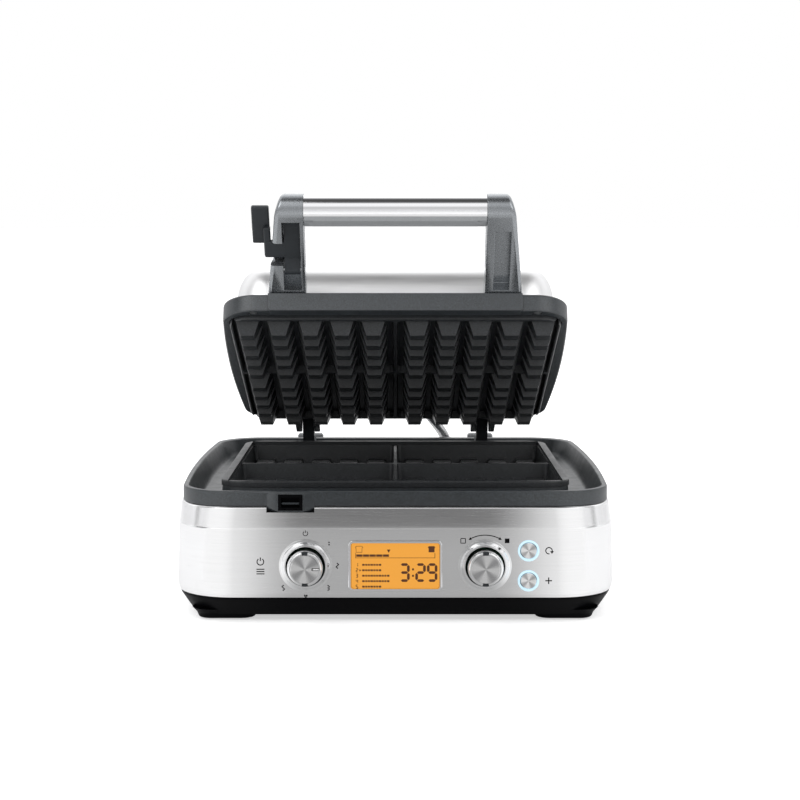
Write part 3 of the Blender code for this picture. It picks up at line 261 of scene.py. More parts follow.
def add_turned(bm, profile, centre, sides=ROUND_SIDES, closed=True, outward=-1):
    """Spins (radius, height) points about an axis along Y; height grows towards outward."""
    loops = []
    for radius, height in profile:
        if radius < 1e-7:
            loops.append([bm.verts.new(centre + Vector((0, outward * height, 0)))])
            continue
        loops.append([bm.verts.new(centre + Vector((radius * math.sin(math.tau * side / sides),
                                                    outward * height,
                                                    radius * math.cos(math.tau * side / sides))))
                      for side in range(sides)])
    pairs = list(zip(loops, loops[1:]))
    if closed:
        pairs.append((loops[-1], loops[0]))
    for first, second in pairs:
        for side in range(sides):
            after = (side + 1) % sides
            corners = [first[side % len(first)], first[after % len(first)],
                       second[after % len(second)], second[side % len(second)]]
            distinct = list(dict.fromkeys(corners))
            if len(distinct) > 2:
                bm.faces.new(distinct)


def rounded_profile(points, closed=True, steps=4):
    """Rounds the corners of (radius, height, rounding) points with short curves."""
    made = []
    for index, (x, y, rounding) in enumerate(points):
        if not rounding or (not closed and index in (0, len(points) - 1)):
            made.append((x, y))
            continue
        here = Vector((x, y))
        before = Vector(points[index - 1][:2])
        after = Vector(points[(index + 1) % len(points)][:2])
        start = here + (before - here) * min(rounding / (before - here).length, 0.48)
        end = here + (after - here) * min(rounding / (after - here).length, 0.48)
        for step in range(steps + 1):
            share = step / steps
            made.append(tuple(start.lerp(here, share).lerp(here.lerp(end, share), share)))
    return made


def loose(name, bm):
    """A mesh object that isn't shown: a cutter or an addition."""
    bmesh.ops.recalc_face_normals(bm, faces=bm.faces)
    mesh = bpy.data.meshes.new(name)
    bm.to_mesh(mesh)
    bm.free()
    made = bpy.data.objects.new(name, mesh)
    bpy.context.scene.collection.objects.link(made)
    return made


def add_modifiers(target, steps):
    """Adds modifiers, bakes them into the mesh and leaves none behind."""
    for kind, values in steps:
        modifier = target.modifiers.new(kind.lower(), kind)
        for key, value in values.items():
            setattr(modifier, key, value)
    bpy.context.view_layer.update()
    evaluated = target.evaluated_get(bpy.context.evaluated_depsgraph_get())
    baked = bpy.data.meshes.new_from_object(evaluated)
    target.modifiers.clear()
    target.data = baked
    return target


def combine(target, bm, operation="DIFFERENCE"):
    """Cuts or joins a built shape and drops it."""
    tool = loose("tool", bm)
    add_modifiers(target, [("BOOLEAN", {"operation": operation, "object": tool, "solver": "EXACT"})])
    bpy.data.objects.remove(tool)
    return target


def round_edges(target, width, steps=2, angle=30):
    return add_modifiers(target, [
        ("WELD", {"merge_threshold": 0.00001}),
        ("BEVEL", {"width": width, "segments": steps, "limit_method": "ANGLE",
                   "angle_limit": math.radians(angle), "use_clamp_overlap": True}),
    ])


def show(target, body, finish, *nodes, sharp=32):
    """Places a drawn piece, gives it its finish and sets it on its body."""
    target.data.transform(PLACING.get(body, STILL))
    target.data.materials.clear()
    target.data.materials.append(FINISHES[finish])
    target.data.shade_smooth()
    target.data.set_sharp_from_angle(angle=math.radians(sharp))
    weigh = target.modifiers.new("weigh", "WEIGHTED_NORMAL")
    weigh.keep_sharp = True
    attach(target, body)
    if nodes:
        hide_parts(*nodes)
    return target


# ------------------------------------------------------------------------ finishes
class Finish:
    """A procedural material, built step by step on object coordinates."""

    def __init__(self, name, colour, roughness, metallic=0.0, **sockets):
        self.made = bpy.data.materials.new(name)
        self.made.use_nodes = True
        self.tree = self.made.node_tree
        self.shader = self.tree.nodes["Principled BSDF"]
        self.colour = colour
        self.roughness = roughness
        self.shader.inputs["Base Color"].default_value = (*colour, 1.0)
        self.shader.inputs["Roughness"].default_value = roughness
        self.shader.inputs["Metallic"].default_value = metallic
        for key, value in sockets.items():
            self.shader.inputs[key.replace("_", " ")].default_value = value
        self.bump_end = None

    def node(self, kind, **values):
        made = self.tree.nodes.new(kind)
        for key, value in values.items():
            setattr(made, key, value)
        return made

    def link(self, start, end):
        self.tree.links.new(start, end)

    def noise(self, scale, stretch=(1, 1, 1), detail=3.0, rough=0.55, distortion=0.0):
        """Noise with features of about 1/scale metres; stretch squeezes it along an axis."""
        coords = self.node("ShaderNodeTexCoord")
        place = self.node("ShaderNodeMapping")
        place.inputs["Scale"].default_value = stretch
        made = self.node("ShaderNodeTexNoise")
        made.inputs["Scale"].default_value = scale
        made.inputs["Detail"].default_value = detail
        made.inputs["Roughness"].default_value = rough
        made.inputs["Distortion"].default_value = distortion
        self.link(coords.outputs["Object"], place.inputs["Vector"])
        self.link(place.outputs["Vector"], made.inputs["Vector"])
        return made.outputs["Fac"]

    def spread(self, factor, low, high, start=0.3, end=0.7):
        made = self.node("ShaderNodeMapRange")
        made.inputs["From Min"].default_value = start
        made.inputs["From Max"].default_value = end
        made.inputs["To Min"].default_value = low
        made.inputs["To Max"].default_value = high
        self.link(factor, made.inputs["Value"])
        return made.outputs["Result"]

    def vary_roughness(self, factor, by, start=0.3, end=0.7):
        result = self.spread(factor, max(self.roughness - by, 0.02), self.roughness + by, start, end)
        self.link(result, self.shader.inputs["Roughness"])

    def vary_colour(self, factor, darkest, lightest, start=0.3, end=0.7):
        """Scales the base colour between two shares of itself."""
        made = self.node("ShaderNodeMix", data_type="RGBA")
        made.inputs["A"].default_value = (*(part * darkest for part in self.colour), 1.0)
        made.inputs["B"].default_value = (*(min(part * lightest, 1.0) for part in self.colour), 1.0)
        self.link(self.spread(factor, 0.0, 1.0, start, end), made.inputs["Factor"])
        self.link(made.outputs["Result"], self.shader.inputs["Base Color"])
        return made

    def bump(self, height, strength, distance):
        made = self.node("ShaderNodeBump")
        made.inputs["Strength"].default_value = strength
        made.inputs["Distance"].default_value = distance
        self.link(height, made.inputs["Height"])
        if self.bump_end:
            self.link(self.bump_end, made.inputs["Normal"])
        self.bump_end = made.outputs["Normal"]
        self.link(self.bump_end, self.shader.inputs["Normal"])


def brushed(name, colour, roughness, across, strength=0.08):
    """Steel with long fine scratches; across is the fine axis, such as 'z'."""
    stretch = {"x": (1, 0.012, 0.012), "y": (0.012, 1, 0.012), "z": (0.012, 0.012, 1)}[across]
    finish = Finish(name, colour, roughness, 1.0, Anisotropic=0.45)
    hair = finish.noise(2600, stretch, 4.0, 0.7)
    finish.vary_roughness(hair, 0.06)
    finish.vary_colour(finish.noise(1500, stretch, 3.0, 0.6), 0.975, 1.01)
    finish.bump(hair, strength, 0.00002)
    finish.bump(finish.noise(9, detail=1.0), 0.04, 0.0010)
    return finish.made


def spun(name, colour, roughness, centres):
    """Turned steel: fine rings, and a painted fan of highlight and shade round each centre, set into the base
    colour.
    """
    finish = Finish(name, colour, roughness, 1.0)
    coords = finish.node("ShaderNodeTexCoord")
    angle_at = None
    radius_at = None
    for x, z, reach in centres:
        shifted = finish.node("ShaderNodeVectorMath", operation="SUBTRACT")
        shifted.inputs[1].default_value = (x, 0, z)
        finish.link(coords.outputs["Object"], shifted.inputs[0])
        parts = finish.node("ShaderNodeSeparateXYZ")
        finish.link(shifted.outputs["Vector"], parts.inputs["Vector"])
        turn = finish.node("ShaderNodeMath", operation="ARCTAN2")
        finish.link(parts.outputs["Z"], turn.inputs[0])
        finish.link(parts.outputs["X"], turn.inputs[1])
        flat = finish.node("ShaderNodeCombineXYZ")
        finish.link(parts.outputs["X"], flat.inputs["X"])
        finish.link(parts.outputs["Z"], flat.inputs["Y"])
        length = finish.node("ShaderNodeVectorMath", operation="LENGTH")
        finish.link(flat.outputs["Vector"], length.inputs[0])
        if angle_at is None:
            angle_at, radius_at = turn.outputs["Value"], length.outputs["Value"]
            continue
        inside = finish.node("ShaderNodeMath", operation="LESS_THAN")
        inside.inputs[1].default_value = reach
        finish.link(length.outputs["Value"], inside.inputs[0])
        picked = []
        for kept, offered in ((angle_at, turn.outputs["Value"]), (radius_at, length.outputs["Value"])):
            pick = finish.node("ShaderNodeMix", data_type="FLOAT")
            finish.link(inside.outputs["Value"], pick.inputs["Factor"])
            finish.link(kept, pick.inputs["A"])
            finish.link(offered, pick.inputs["B"])
            picked.append(pick.outputs["Result"])
        angle_at, radius_at = picked
    # Painted highlight and shade: the base colour brightens and darkens in a fan by angle round each centre, in
    # place of the turned surface's reflection.
    fan = finish.node("ShaderNodeMath", operation="MULTIPLY_ADD")
    fan.inputs[1].default_value = 4.0
    fan.inputs[2].default_value = 2.2
    finish.link(angle_at, fan.inputs[0])
    wave = finish.node("ShaderNodeMath", operation="SINE")
    finish.link(fan.outputs["Value"], wave.inputs[0])
    finish.vary_colour(wave.outputs["Value"], 0.55, 1.03, -0.9, 0.7)
    rings = finish.node("ShaderNodeTexNoise")
    rings.inputs["Scale"].default_value = 9000
    along = finish.node("ShaderNodeCombineXYZ")
    finish.link(radius_at, along.inputs["X"])
    finish.link(along.outputs["Vector"], rings.inputs["Vector"])
    finish.vary_roughness(rings.outputs["Fac"], 0.08)
    finish.bump(rings.outputs["Fac"], 0.30, 0.00002)
    return finish.made


def moulded(name, colour, roughness, metallic=0.0, grain=1400, strength=0.25, **sockets):
    """Moulded or coated surface: fine grain, faint mottling, uneven gloss."""
    finish = Finish(name, colour, roughness, metallic, **sockets)
    fine = finish.noise(grain, detail=4.0, rough=0.6)
    finish.vary_roughness(finish.noise(60, detail=3.0), 0.05)
    finish.vary_colour(fine, 0.88, 1.12)
    finish.bump(fine, strength, 0.00010)
    return finish.made


def sparkling(name, colour, roughness, metallic, strength, specular=0.5):
    """Powder coat with fine metallic flecks."""
    finish = Finish(name, colour, roughness, metallic, Specular_IOR_Level=specular)
    fleck = finish.noise(1100, detail=3.0, rough=0.8)
    finish.vary_colour(fleck, 0.55, 2.3, 0.40, 0.70)
    finish.vary_roughness(finish.noise(70, detail=3.0), 0.05)
    finish.bump(finish.noise(1500, detail=5.0, rough=0.65), strength, 0.00016)
    return finish.made


def glowing(name, colour, strength, base):
    finish = Finish(name, base, 0.35)
    finish.shader.inputs["Emission Color"].default_value = (*colour, 1.0)
    finish.shader.inputs["Emission Strength"].default_value = strength
    finish.vary_roughness(finish.noise(120), 0.04)
    return finish


def cast(name, colour, roughness, metallic):
    """Satin die casting: fine shot-blasted grain, faint flow marks."""
    finish = Finish(name, colour, roughness, metallic)
    finish.vary_colour(finish.noise(45, detail=4.0), 0.96, 1.04)
    finish.vary_roughness(finish.noise(600, detail=3.0), 0.05)
    finish.bump(finish.noise(1700, detail=4.0, rough=0.6), 0.22, 0.00008)
    return finish.made


def polished(name, colour, roughness):
    finish = Finish(name, colour, roughness, 1.0)
    hair = finish.noise(2200, (0.01, 1, 1), 3.0, 0.6)
    finish.vary_roughness(hair, 0.03)
    finish.bump(hair, 0.06, 0.00001)
    return finish.made


def make_finishes():
    dial_centres = [(-KNOB_X, PANEL_Z, 0.02), (KNOB_X, PANEL_Z, 0.02)]
    button_centres = [(BUTTON_X, z, 0.011) for z in BUTTON_ROWS.values()]
    made = {
        "brushed_steel": brushed("brushed_steel", (0.90, 0.90, 0.905), 0.22, "z"),
        "cover_steel": brushed("cover_steel", (0.92, 0.92, 0.92), 0.38, "y"),
        "polished_steel": polished("polished_steel", (0.90, 0.90, 0.91), 0.09),
        "spun_steel": spun("spun_steel", (0.97, 0.97, 0.98), 0.24, dial_centres + button_centres),
        "plain_steel": cast("plain_steel", (0.55, 0.56, 0.57), 0.38, 1.0),
        "plain_aluminium": cast("plain_aluminium", (0.75, 0.75, 0.75), 0.45, 1.0),
        "heater_steel": cast("heater_steel", (0.30, 0.28, 0.26), 0.50, 1.0),
        "satin_silver": polished("satin_silver", (0.95, 0.955, 0.96), 0.16),
        "satin_casting": cast("satin_casting", (0.31, 0.325, 0.34), 0.27, 0.90),
        "textured_casting": sparkling("textured_casting", (0.023, 0.028, 0.032), 0.38, 0.15, 0.55, 0.95),
        "dark_casting": cast("dark_casting", (0.03, 0.032, 0.035), 0.40, 0.3),
        "non_stick": sparkling("non_stick", (0.020, 0.022, 0.024), 0.40, 0.05, 0.40),
        "black_plastic": moulded("black_plastic", (0.002, 0.002, 0.0025), 0.40, strength=0.10,
                                 Specular_IOR_Level=0.05),
        "dark_plastic": moulded("dark_plastic", (0.025, 0.029, 0.033), 0.38, strength=0.35,
                                Specular_IOR_Level=0.3),
        "grey_plastic": moulded("grey_plastic", (0.30, 0.31, 0.32), 0.45, strength=0.20),
        "rubber": moulded("rubber", (0.014, 0.014, 0.015), 0.80, grain=900, strength=0.5),
        "board_green": moulded("board_green", (0.03, 0.18, 0.07), 0.55),
        "sleeve_metal": polished("sleeve_metal", (0.92, 0.92, 0.93), 0.24),
        "lit_ring": glowing("lit_ring", (0.60, 0.84, 0.98), 0.78, (0.25, 0.33, 0.38)).made,
        "print_ink": moulded("print_ink", (0.004, 0.004, 0.0045), 0.60, strength=0.04,
                             Specular_IOR_Level=0.05),
        "mark_white": moulded("mark_white", (0.80, 0.80, 0.80), 0.45, strength=0.05),
    }
    return made


FINISHES = make_finishes()


# ---------------------------------------------------------------------------- base
def base_tray():
    foot_low_z = 0.0015
    rings = soften([
        (shrink(BODY, 0.0130), 0.0062, 0.0015), (shrink(BODY, 0.0095), 0.0110, 0.004),
        (shrink(BODY, 0.0020), STEEL_BOTTOM_Z - 0.0016, 0.0025),
        (shrink(BODY, 0.0026), STEEL_BOTTOM_Z - FIT, 0.0006),
        (shrink(BODY, 0.0036), STEEL_BOTTOM_Z - FIT, 0), (shrink(BODY, 0.0036), STEEL_BOTTOM_Z + 0.0055, 0),
        (shrink(BODY, 0.0062), STEEL_BOTTOM_Z + 0.0055, 0), (shrink(BODY, 0.0062), STEEL_BOTTOM_Z, 0),
        (shrink(BODY, 0.0125), 0.0140, 0), (shrink(BODY, 0.0155), 0.0095, 0)], closed=False, steps=5)
    bm = bmesh.new()
    skin_rings(bm, rings, True)
    tray = loose("base_shell", bm)
    feet = bmesh.new()
    recesses = bmesh.new()
    foot_low, foot_high = drawn_box("rubber_foot_front_right")
    foot_x = (foot_low.x + foot_high.x) / 2
    sole_half = 0.0262
    for side in (-1, 1):
        for y in ((foot_low.y + foot_high.y) / 2, -(foot_low.y + foot_high.y) / 2):
            sole = Outline(sole_half, y - sole_half, y + sole_half, sole_half / 2)
            block = soften([(shrink(sole, 0.0008), foot_low_z, 0), (sole, foot_low_z + 0.0008, 0.0006),
                            (shrink(sole, -0.0010), 0.0055, 0.002), (shrink(sole, -0.0055), 0.0105, 0)],
                           closed=False)
            skin_rings(feet, block, True, side * foot_x)
            add_cylinder(recesses, (side * foot_x, y, foot_low_z), foot_high.x - foot_x + 0.0004, 0.004,
                         "Z")
    combine(tray, feet, "UNION")
    combine(tray, recesses)
    combine(tray, vent_slots())
    show(tray, "base", "black_plastic", "base_tray", sharp=38)


def vent_slots():
    """Two rows of slots through the tray's floor."""
    count = 9
    pitch = 0.016
    half_wide = 0.0025
    half_long = 0.025
    vents = bmesh.new()
    for row_y in (BODY.front + 0.110, BODY.rear - 0.110):
        for index in range(count):
            x = (index - (count - 1) / 2) * pitch
            add_box(vents, (x - half_wide, row_y - half_long, 0.0), (x + half_wide, row_y + half_long, 0.02))
    return vents


def rubber_feet():
    """Round feet with a ring groove in the sole."""
    for name in ("front_left", "front_right", "rear_left", "rear_right"):
        low, high = drawn_box(f"rubber_foot_{name}")
        middle = (low + high) / 2
        radius = (high.x - low.x) / 2
        bm = bmesh.new()
        profile = rounded_profile([(0, high.z, 0), (radius, high.z, 0.0004), (radius, low.z, 0.0009),
                                   (radius - 0.0022, low.z, 0.0003),
                                   (radius - 0.0024, low.z + 0.0007, 0.0002),
                                   (radius - 0.0040, low.z + 0.0007, 0.0002),
                                   (radius - 0.0042, low.z, 0.0003), (0, low.z, 0)], closed=False)
        add_turned(bm, profile, Vector((0, 0, 0)), 48, closed=False)
        bmesh.ops.rotate(bm, verts=bm.verts, matrix=Matrix.Rotation(math.radians(-90), 3, "X"))
        bmesh.ops.translate(bm, verts=bm.verts, vec=(middle.x, middle.y, 0))
        show(loose(f"foot_{name}", bm), "base", "rubber", f"rubber_foot_{name}")


def steel_wrap():
    lip = shrink(BODY, 0.012)
    rings = soften([
        (shrink(BODY, 0.0016), STEEL_BOTTOM_Z, 0.0006), (BODY, STEEL_BOTTOM_Z + 0.0035, 0.0024),
        (BODY, STEEL_BOTTOM_Z + 0.021, 0.004), (shrink_sides(SIDE_LEAN), CREASE_Z - 0.0006, 0.0004),
        (shrink_sides(SIDE_LEAN, 0.0006), CREASE_Z + 0.0002, 0.0003),
        (shrink_sides(SIDE_LEAN + 0.0002, 0.0008), CREASE_Z + 0.0016, 0.0006),
        (shrink_sides(BAND_SIDES, BAND_SET_BACK), STEEL_TOP_Z - 0.0012, 0.0008),
        (shrink_sides(BAND_SIDES + 0.0012, BAND_SET_BACK + 0.0012), STEEL_TOP_Z, 0), (lip, STEEL_TOP_Z, 0),
        (lip, STEEL_TOP_Z - STEEL_WALL, 0), (shrink(BODY, BAND_SET_BACK + STEEL_WALL),
                                             STEEL_TOP_Z - 2 * STEEL_WALL, 0),
        (shrink(BODY, SIDE_LEAN + STEEL_WALL), CREASE_Z, 0),
        (shrink(BODY, STEEL_WALL), STEEL_BOTTOM_Z + 0.021, 0),
        (shrink(BODY, 0.0022 + STEEL_WALL), STEEL_BOTTOM_Z, 0)])
    bm = bmesh.new()
    skin_rings(bm, rings, False)
    wrap = loose("steel_body", bm)
    sleeve_gap = 0.0024 + FIT
    holes = bmesh.new()
    for side in (-1, 1):
        add_cylinder(holes, (side * KNOB_X, BODY.front, PANEL_Z), KNOB_RADIUS + sleeve_gap, 0.02, "Y")
    for z in BUTTON_ROWS.values():
        add_cylinder(holes, (BUTTON_X, BODY.front, z), BUTTON_RADIUS + 0.0018, 0.02, "Y", 40)
    low, high = drawn_box("display_bezel")
    sleeve = 0.0014 - FIT
    add_box(holes, (low.x + sleeve, BODY.front - 0.01, low.z + sleeve),
            (high.x - sleeve, BODY.front + 0.01, high.z - sleeve))
    low, high = catch_housing_box()
    grown = Vector((FIT, FIT, FIT))
    add_box(holes, low - grown, high + grown)
    low, high = drawn_box("cord_gland")
    middle = (low + high) / 2
    add_cylinder(holes, (middle.x, BODY.rear, middle.z), 0.0088, 0.02, "Y", 40)
    combine(wrap, holes)
    show(wrap, "base", "brushed_steel", "steel_wrap", sharp=24)


def shrink_sides(by, front=0.0):
    """The body's outline with its sides and rear moved in, and its front if asked."""
    return BODY._replace(half_x=BODY.half_x - by, rear=BODY.rear - by, front=BODY.front + front)


def catch_housing_box():
    return (Vector((LATCH_X - 0.0212, CATCH_FRONT_Y, RIM_TOP_Z - 0.0185)),
            Vector((LATCH_X + 0.0212, BODY.front + 0.015, RIM_TOP_Z)))


def add_catch_housing(bm):
    """A block with sloping shoulders that carries the latch catch."""
    low, high = catch_housing_box()
    shoulder = 0.0058
    slope = 0.0034
    drop = 0.0042
    levels = ((high.z - 0.0004, 0.0022, 0.0014), (high.z - drop, 0.0, 0.0), (low.z + 0.0034, 0.0, 0.0),
              (low.z, 0.0052, 0.0012))
    loops = []
    for z, inset, set_back in levels:
        front = low.y + set_back
        plan = ((low.x + inset / 2, high.y), (low.x + inset / 2, front + slope),
                (low.x + shoulder + inset, front), (high.x - shoulder - inset, front),
                (high.x - inset / 2, front + slope), (high.x - inset / 2, high.y))
        loops.append([bm.verts.new((x, y, z)) for x, y in plan])
    bm.faces.new(loops[0])
    bm.faces.new(list(reversed(loops[-1])))
    for above, below in zip(loops, loops[1:]):
        for index in range(len(above)):
            after = (index + 1) % len(above)
            bm.faces.new((above[index], above[after], below[after], below[index]))


def moat_frame():
    outer = shrink(BODY, 0.007)._replace(half_x=BODY.half_x - 0.0055)
    inside_lip = shrink(BODY, 0.012 + FIT)
    rim = 0.005
    top_inner = Outline(outer.half_x - rim, outer.front + rim, outer.rear - 0.011, outer.radius - rim,
                        outer.bow)
    floor_outer = Outline(top_inner.half_x - 0.008, top_inner.front + 0.007, top_inner.rear - 0.0012,
                          top_inner.radius - 0.006, outer.bow)
    collar = shrink(RAISED, 0.001)
    collar_top_z = RAISED_TOP_Z - 0.0057 - FIT
    rings = soften([
        (outer, STEEL_TOP_Z + FIT, 0.0008), (outer, RIM_TOP_Z, 0.0022), (top_inner, RIM_TOP_Z, 0.0016),
        (floor_outer, CHANNEL_FLOOR_Z + 0.0005, 0.006), (shrink(collar, -0.0015), CHANNEL_FLOOR_Z, 0.004),
        (collar, collar_top_z, 0), (shrink(collar, MOAT_WALL), collar_top_z, 0),
        (shrink(collar, MOAT_WALL), CHANNEL_FLOOR_Z - MOAT_WALL, 0),
        (inside_lip, CHANNEL_FLOOR_Z - MOAT_WALL, 0), (inside_lip, STEEL_TOP_Z + FIT, 0)], steps=6)
    bm = bmesh.new()
    skin_rings(bm, rings, False)
    frame_piece = loose("drip_moat", bm)
    housing = bmesh.new()
    add_catch_housing(housing)
    combine(frame_piece, housing, "UNION")
    low, high = drawn_box("catch_insert")
    cut = bmesh.new()
    add_box(cut, (low.x - FIT, low.y - 0.01, low.z - FIT), (high.x + FIT, high.y + FIT, high.z + FIT))
    for side in (-1, 1):
        arm_low, arm_high = drawn_box(f"hinge_arm_{sided(side)}")
        add_box(cut, (arm_low.x - 0.001, PIVOT.y + 0.004, PIVOT.z - 0.0025),
                (arm_high.x + 0.001, BODY.rear, RIM_TOP_Z + 0.01))
    combine(frame_piece, cut)
    show(frame_piece, "base", "textured_casting", "moat_frame", sharp=34)
    catch_insert(low, high)


def catch_insert(low, high):
    bm = bmesh.new()
    add_box(bm, low, high, 0.0004, 2)
    insert = loose("latch_catch", bm)
    middle = (low + high) / 2
    window = bmesh.new()
    add_box(window, (middle.x - 0.0083, low.y - 0.01, RIM_TOP_Z - 0.0145),
            (middle.x + 0.0083, high.y - 0.0010, RIM_TOP_Z - 0.0054))
    for side in (-1, 1):
        add_box(window, (middle.x + side * 0.0052 - 0.0009, low.y - 0.01, low.z - 0.001),
                (middle.x + side * 0.0052 + 0.0009, low.y + 0.0016, low.z + 0.0012))
    combine(insert, window)
    show(insert, "base", "black_plastic", "catch_insert")
    low, high = drawn_box("catch_bar")
    bm = bmesh.new()
    add_box(bm, low, high, 0.0005, 4)
    show(loose("latch_catch_bar", bm), "base", "dark_plastic", "catch_bar")


# ------------------------------------------------------------------- waffle plates
def cell_centres(pitch):
    one_side = [DIVIDER_ZONE + pitch * (index + 0.5) for index in range(PEAKS_PER_WAFFLE)]
    return [-value for value in reversed(one_side)] + one_side


def add_peaks(bm, root_z, height, up):
    """Square frustums sunk a little into the well floors."""
    sink = 0.0006
    tall = height + sink
    base = Vector((PITCH_X - VALLEY, PITCH_Y - VALLEY)) / 2
    tip = base - Vector((1, 1)) * PEAK_DRAFT * tall
    for x in cell_centres(PITCH_X):
        for y in cell_centres(PITCH_Y):
            loops = []
            for half, z in ((base, -sink), (tip, height)):
                loops.append([bm.verts.new((x + sx * half.x, PLATE_MID_Y + y + sy * half.y, root_z + up * z))
                              for sx, sy in ((-1, -1), (1, -1), (1, 1), (-1, 1))])
            bm.faces.new(loops[0])
            bm.faces.new(loops[1])
            for index in range(4):
                after = (index + 1) % 4
                bm.faces.new((loops[0][index], loops[0][after], loops[1][after], loops[1][index]))


def add_wells(bm, opening_z, floor_z, past, half_divider, draft):
    """Four tapered pockets with rounded corners, one for each waffle."""
    corner = 0.005
    for side_x in (-1, 1):
        for side_y in (-1, 1):
            span_x = (WELL_HALF_X - half_divider) / 2
            span_y = (WELL_HALF_Y - half_divider) / 2
            middle_x = side_x * (WELL_HALF_X + half_divider) / 2
            middle_y = PLATE_MID_Y + side_y * (WELL_HALF_Y + half_divider) / 2
            mouth = Outline(span_x, middle_y - span_y, middle_y + span_y, corner)
            floor = shrink(mouth, draft)
            skin_rings(bm, [(mouth, opening_z + past), (mouth, opening_z), (floor, floor_z)], True, middle_x)


def plate(level, rings, basin, wells, peaks, body):
    """A grid plate: a swept block less its basin and wells, with its field of peaks."""
    bm = bmesh.new()
    skin_rings(bm, rings, True)
    made = loose(f"{level}_cooking", bm)
    for add, values in ((add_box, basin), (add_wells, wells)):
        if values:
            cut = bmesh.new()
            add(cut, *values)
            combine(made, cut)
    field = bmesh.new()
    add_peaks(field, *peaks)
    combine(made, field, "UNION")
    round_edges(made, 0.0007, 2, 28)
    return show(made, body, "non_stick", f"{level}_plate", sharp=50)


def plates():
    skirt = shrink(RAISED, 0.001 + MOAT_WALL + FIT)
    flange_z = RAISED_TOP_Z - 0.0057
    floor_z = RAISED_TOP_Z - 0.029
    divider_z = RAISED_TOP_Z - 0.004
    ledge = 0.0008
    lower = soften([(shrink(skirt, 0.001), LOWER_BOTTOM_Z, 0), (skirt, LOWER_BOTTOM_Z + 0.004, 0),
                    (skirt, flange_z, 0), (RAISED, flange_z, 0), (RAISED, RAISED_TOP_Z, 0.0016),
                    (shrink(RAISED, 0.0045), RAISED_TOP_Z, 0)], closed=False)
    reach = Vector((WELL_HALF_X + ledge, WELL_HALF_Y + ledge, 0))
    basin = (Vector((0, PLATE_MID_Y, divider_z)) - reach,
             Vector((0, PLATE_MID_Y, RAISED_TOP_Z + 0.01)) + reach)
    plate("lower", lower, basin, (divider_z, floor_z, 0.002, 0.0014, 0.0026),
          (floor_z, 0.011, 1), "base")
    upper = [(shrink(UPPER, 0.0010), UPPER_RIM_Z), (UPPER, UPPER_RIM_Z + 0.0010), (UPPER, UPPER_TOP_Z)]
    floor_z = UPPER_RIM_Z + 0.007
    plate("upper", upper, None, (UPPER_RIM_Z, floor_z, -0.002, 0.0016, 0.0012),
          (floor_z, 0.018, -1), "lid")


# ---------------------------------------------------------------- hinges and rear
def hinges():
    for side in (-1, 1):
        name = sided(side)
        for node, finish, rounding in (("hinge_bracket", "plain_steel", 0.0005),
                                       ("hinge_pin", "plain_steel", 0.0005),
                                       ("hinge_cover", "grey_plastic", 0.0006)):
            refined(f"{node}_{name}", finish, rounding)
        refined(f"hinge_arm_{name}", "dark_casting", 0.0012)
    refined("conduit_socket", "black_plastic", 0.0008)
    cord_gland()


def refined(node, finish, rounding, sharp=34):
    """The CAD piece with its edges rounded, as one would fillet it last."""
    source = frame["nodes"][node]
    made = bpy.data.objects.new(f"fine_{node}", source.data.copy())
    bpy.context.scene.collection.objects.link(made)
    add_modifiers(made, [("WELD", {"merge_threshold": 0.00001}),
                         ("DECIMATE", {"decimate_type": "DISSOLVE", "angle_limit": math.radians(1)})])
    round_edges(made, rounding, 3, 34)
    body = body_name(node)
    made.data.transform(PLACING.get(body, STILL).inverted())
    return show(made, body, finish, node, sharp=sharp)


def cord_gland():
    low, high = drawn_box("cord_gland")
    middle = (low + high) / 2
    flange = (high.x - low.x) / 2
    bm = bmesh.new()
    profile = rounded_profile([
        (0.0040, 0.0075, 0.0008), (0.0064, 0.0075, 0.0008), (0.0070, 0.0056, 0.0004),
        (0.0064, 0.0052, 0.0002), (0.0072, 0.0046, 0.0004), (0.0078, 0.0036, 0.0004),
        (flange, 0.0030, 0.0008), (flange, FIT + 0.0004, 0.0003), (0.0085, FIT + 0.0004, 0),
        (0.0085, -0.0050, 0), (0.0040, -0.0050, 0)])
    add_turned(bm, profile, Vector((middle.x, BODY.rear - 0.0006, middle.z)), 48, outward=1)
    show(loose("cord_outlet", bm), "base", "black_plastic", "cord_gland")


def conduit():
    """The ribbed metal sleeve from the base to the lid, drawn bent to meet the lid in its stored pose."""
    low, high = drawn_box("conduit_socket")
    radius = 0.0055
    start = Vector(((low.x + high.x) / 2, BODY.rear + 0.0095, high.z + FIT))
    wall = Vector((0.004, COVER.rear, FRAME_TOP_Z + 0.018))
    mouth = LID @ (wall + Vector((0, radius, 0)))
    pull = LID @ (wall + Vector((0.016, 0.024, -0.004)))
    step_up = Vector((0, 0, 0.005))
    handles = (start + step_up, start + 3.5 * step_up, pull, mouth)
    count = 150
    path = [start]
    for index in range(count + 1):
        share = index / count
        keep = 1 - share
        path.append(handles[0] * keep ** 3 + handles[1] * 3 * keep * keep * share
                    + handles[2] * 3 * keep * share * share + handles[3] * share ** 3)
    sides = 24
    bm = bmesh.new()
    loops = []
    for index, point in enumerate(path):
        along = (path[min(index + 1, len(path) - 1)] - path[max(index - 1, 0)]).normalized()
        across = along.cross(Vector((1, 0, 0))).normalized()
        other = along.cross(across)
        ribbed = radius * (0.93 + 0.06 * math.cos(math.pi * index))
        loops.append([bm.verts.new(point + ribbed * (across * math.cos(math.tau * side / sides)
                                                     + other * math.sin(math.tau * side / sides)))
                      for side in range(sides)])
    bm.faces.new(loops[0])
    bm.faces.new(list(reversed(loops[-1])))
    for first, second in zip(loops, loops[1:]):
        for side in range(sides):
            after = (side + 1) % sides
            bm.faces.new((first[side], first[after], second[after], second[side]))
    sleeve = loose("lead_sleeve", bm)
    sleeve.data.materials.append(FINISHES["sleeve_metal"])
    sleeve.data.shade_smooth()
    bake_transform(sleeve)
    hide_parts("conduit")


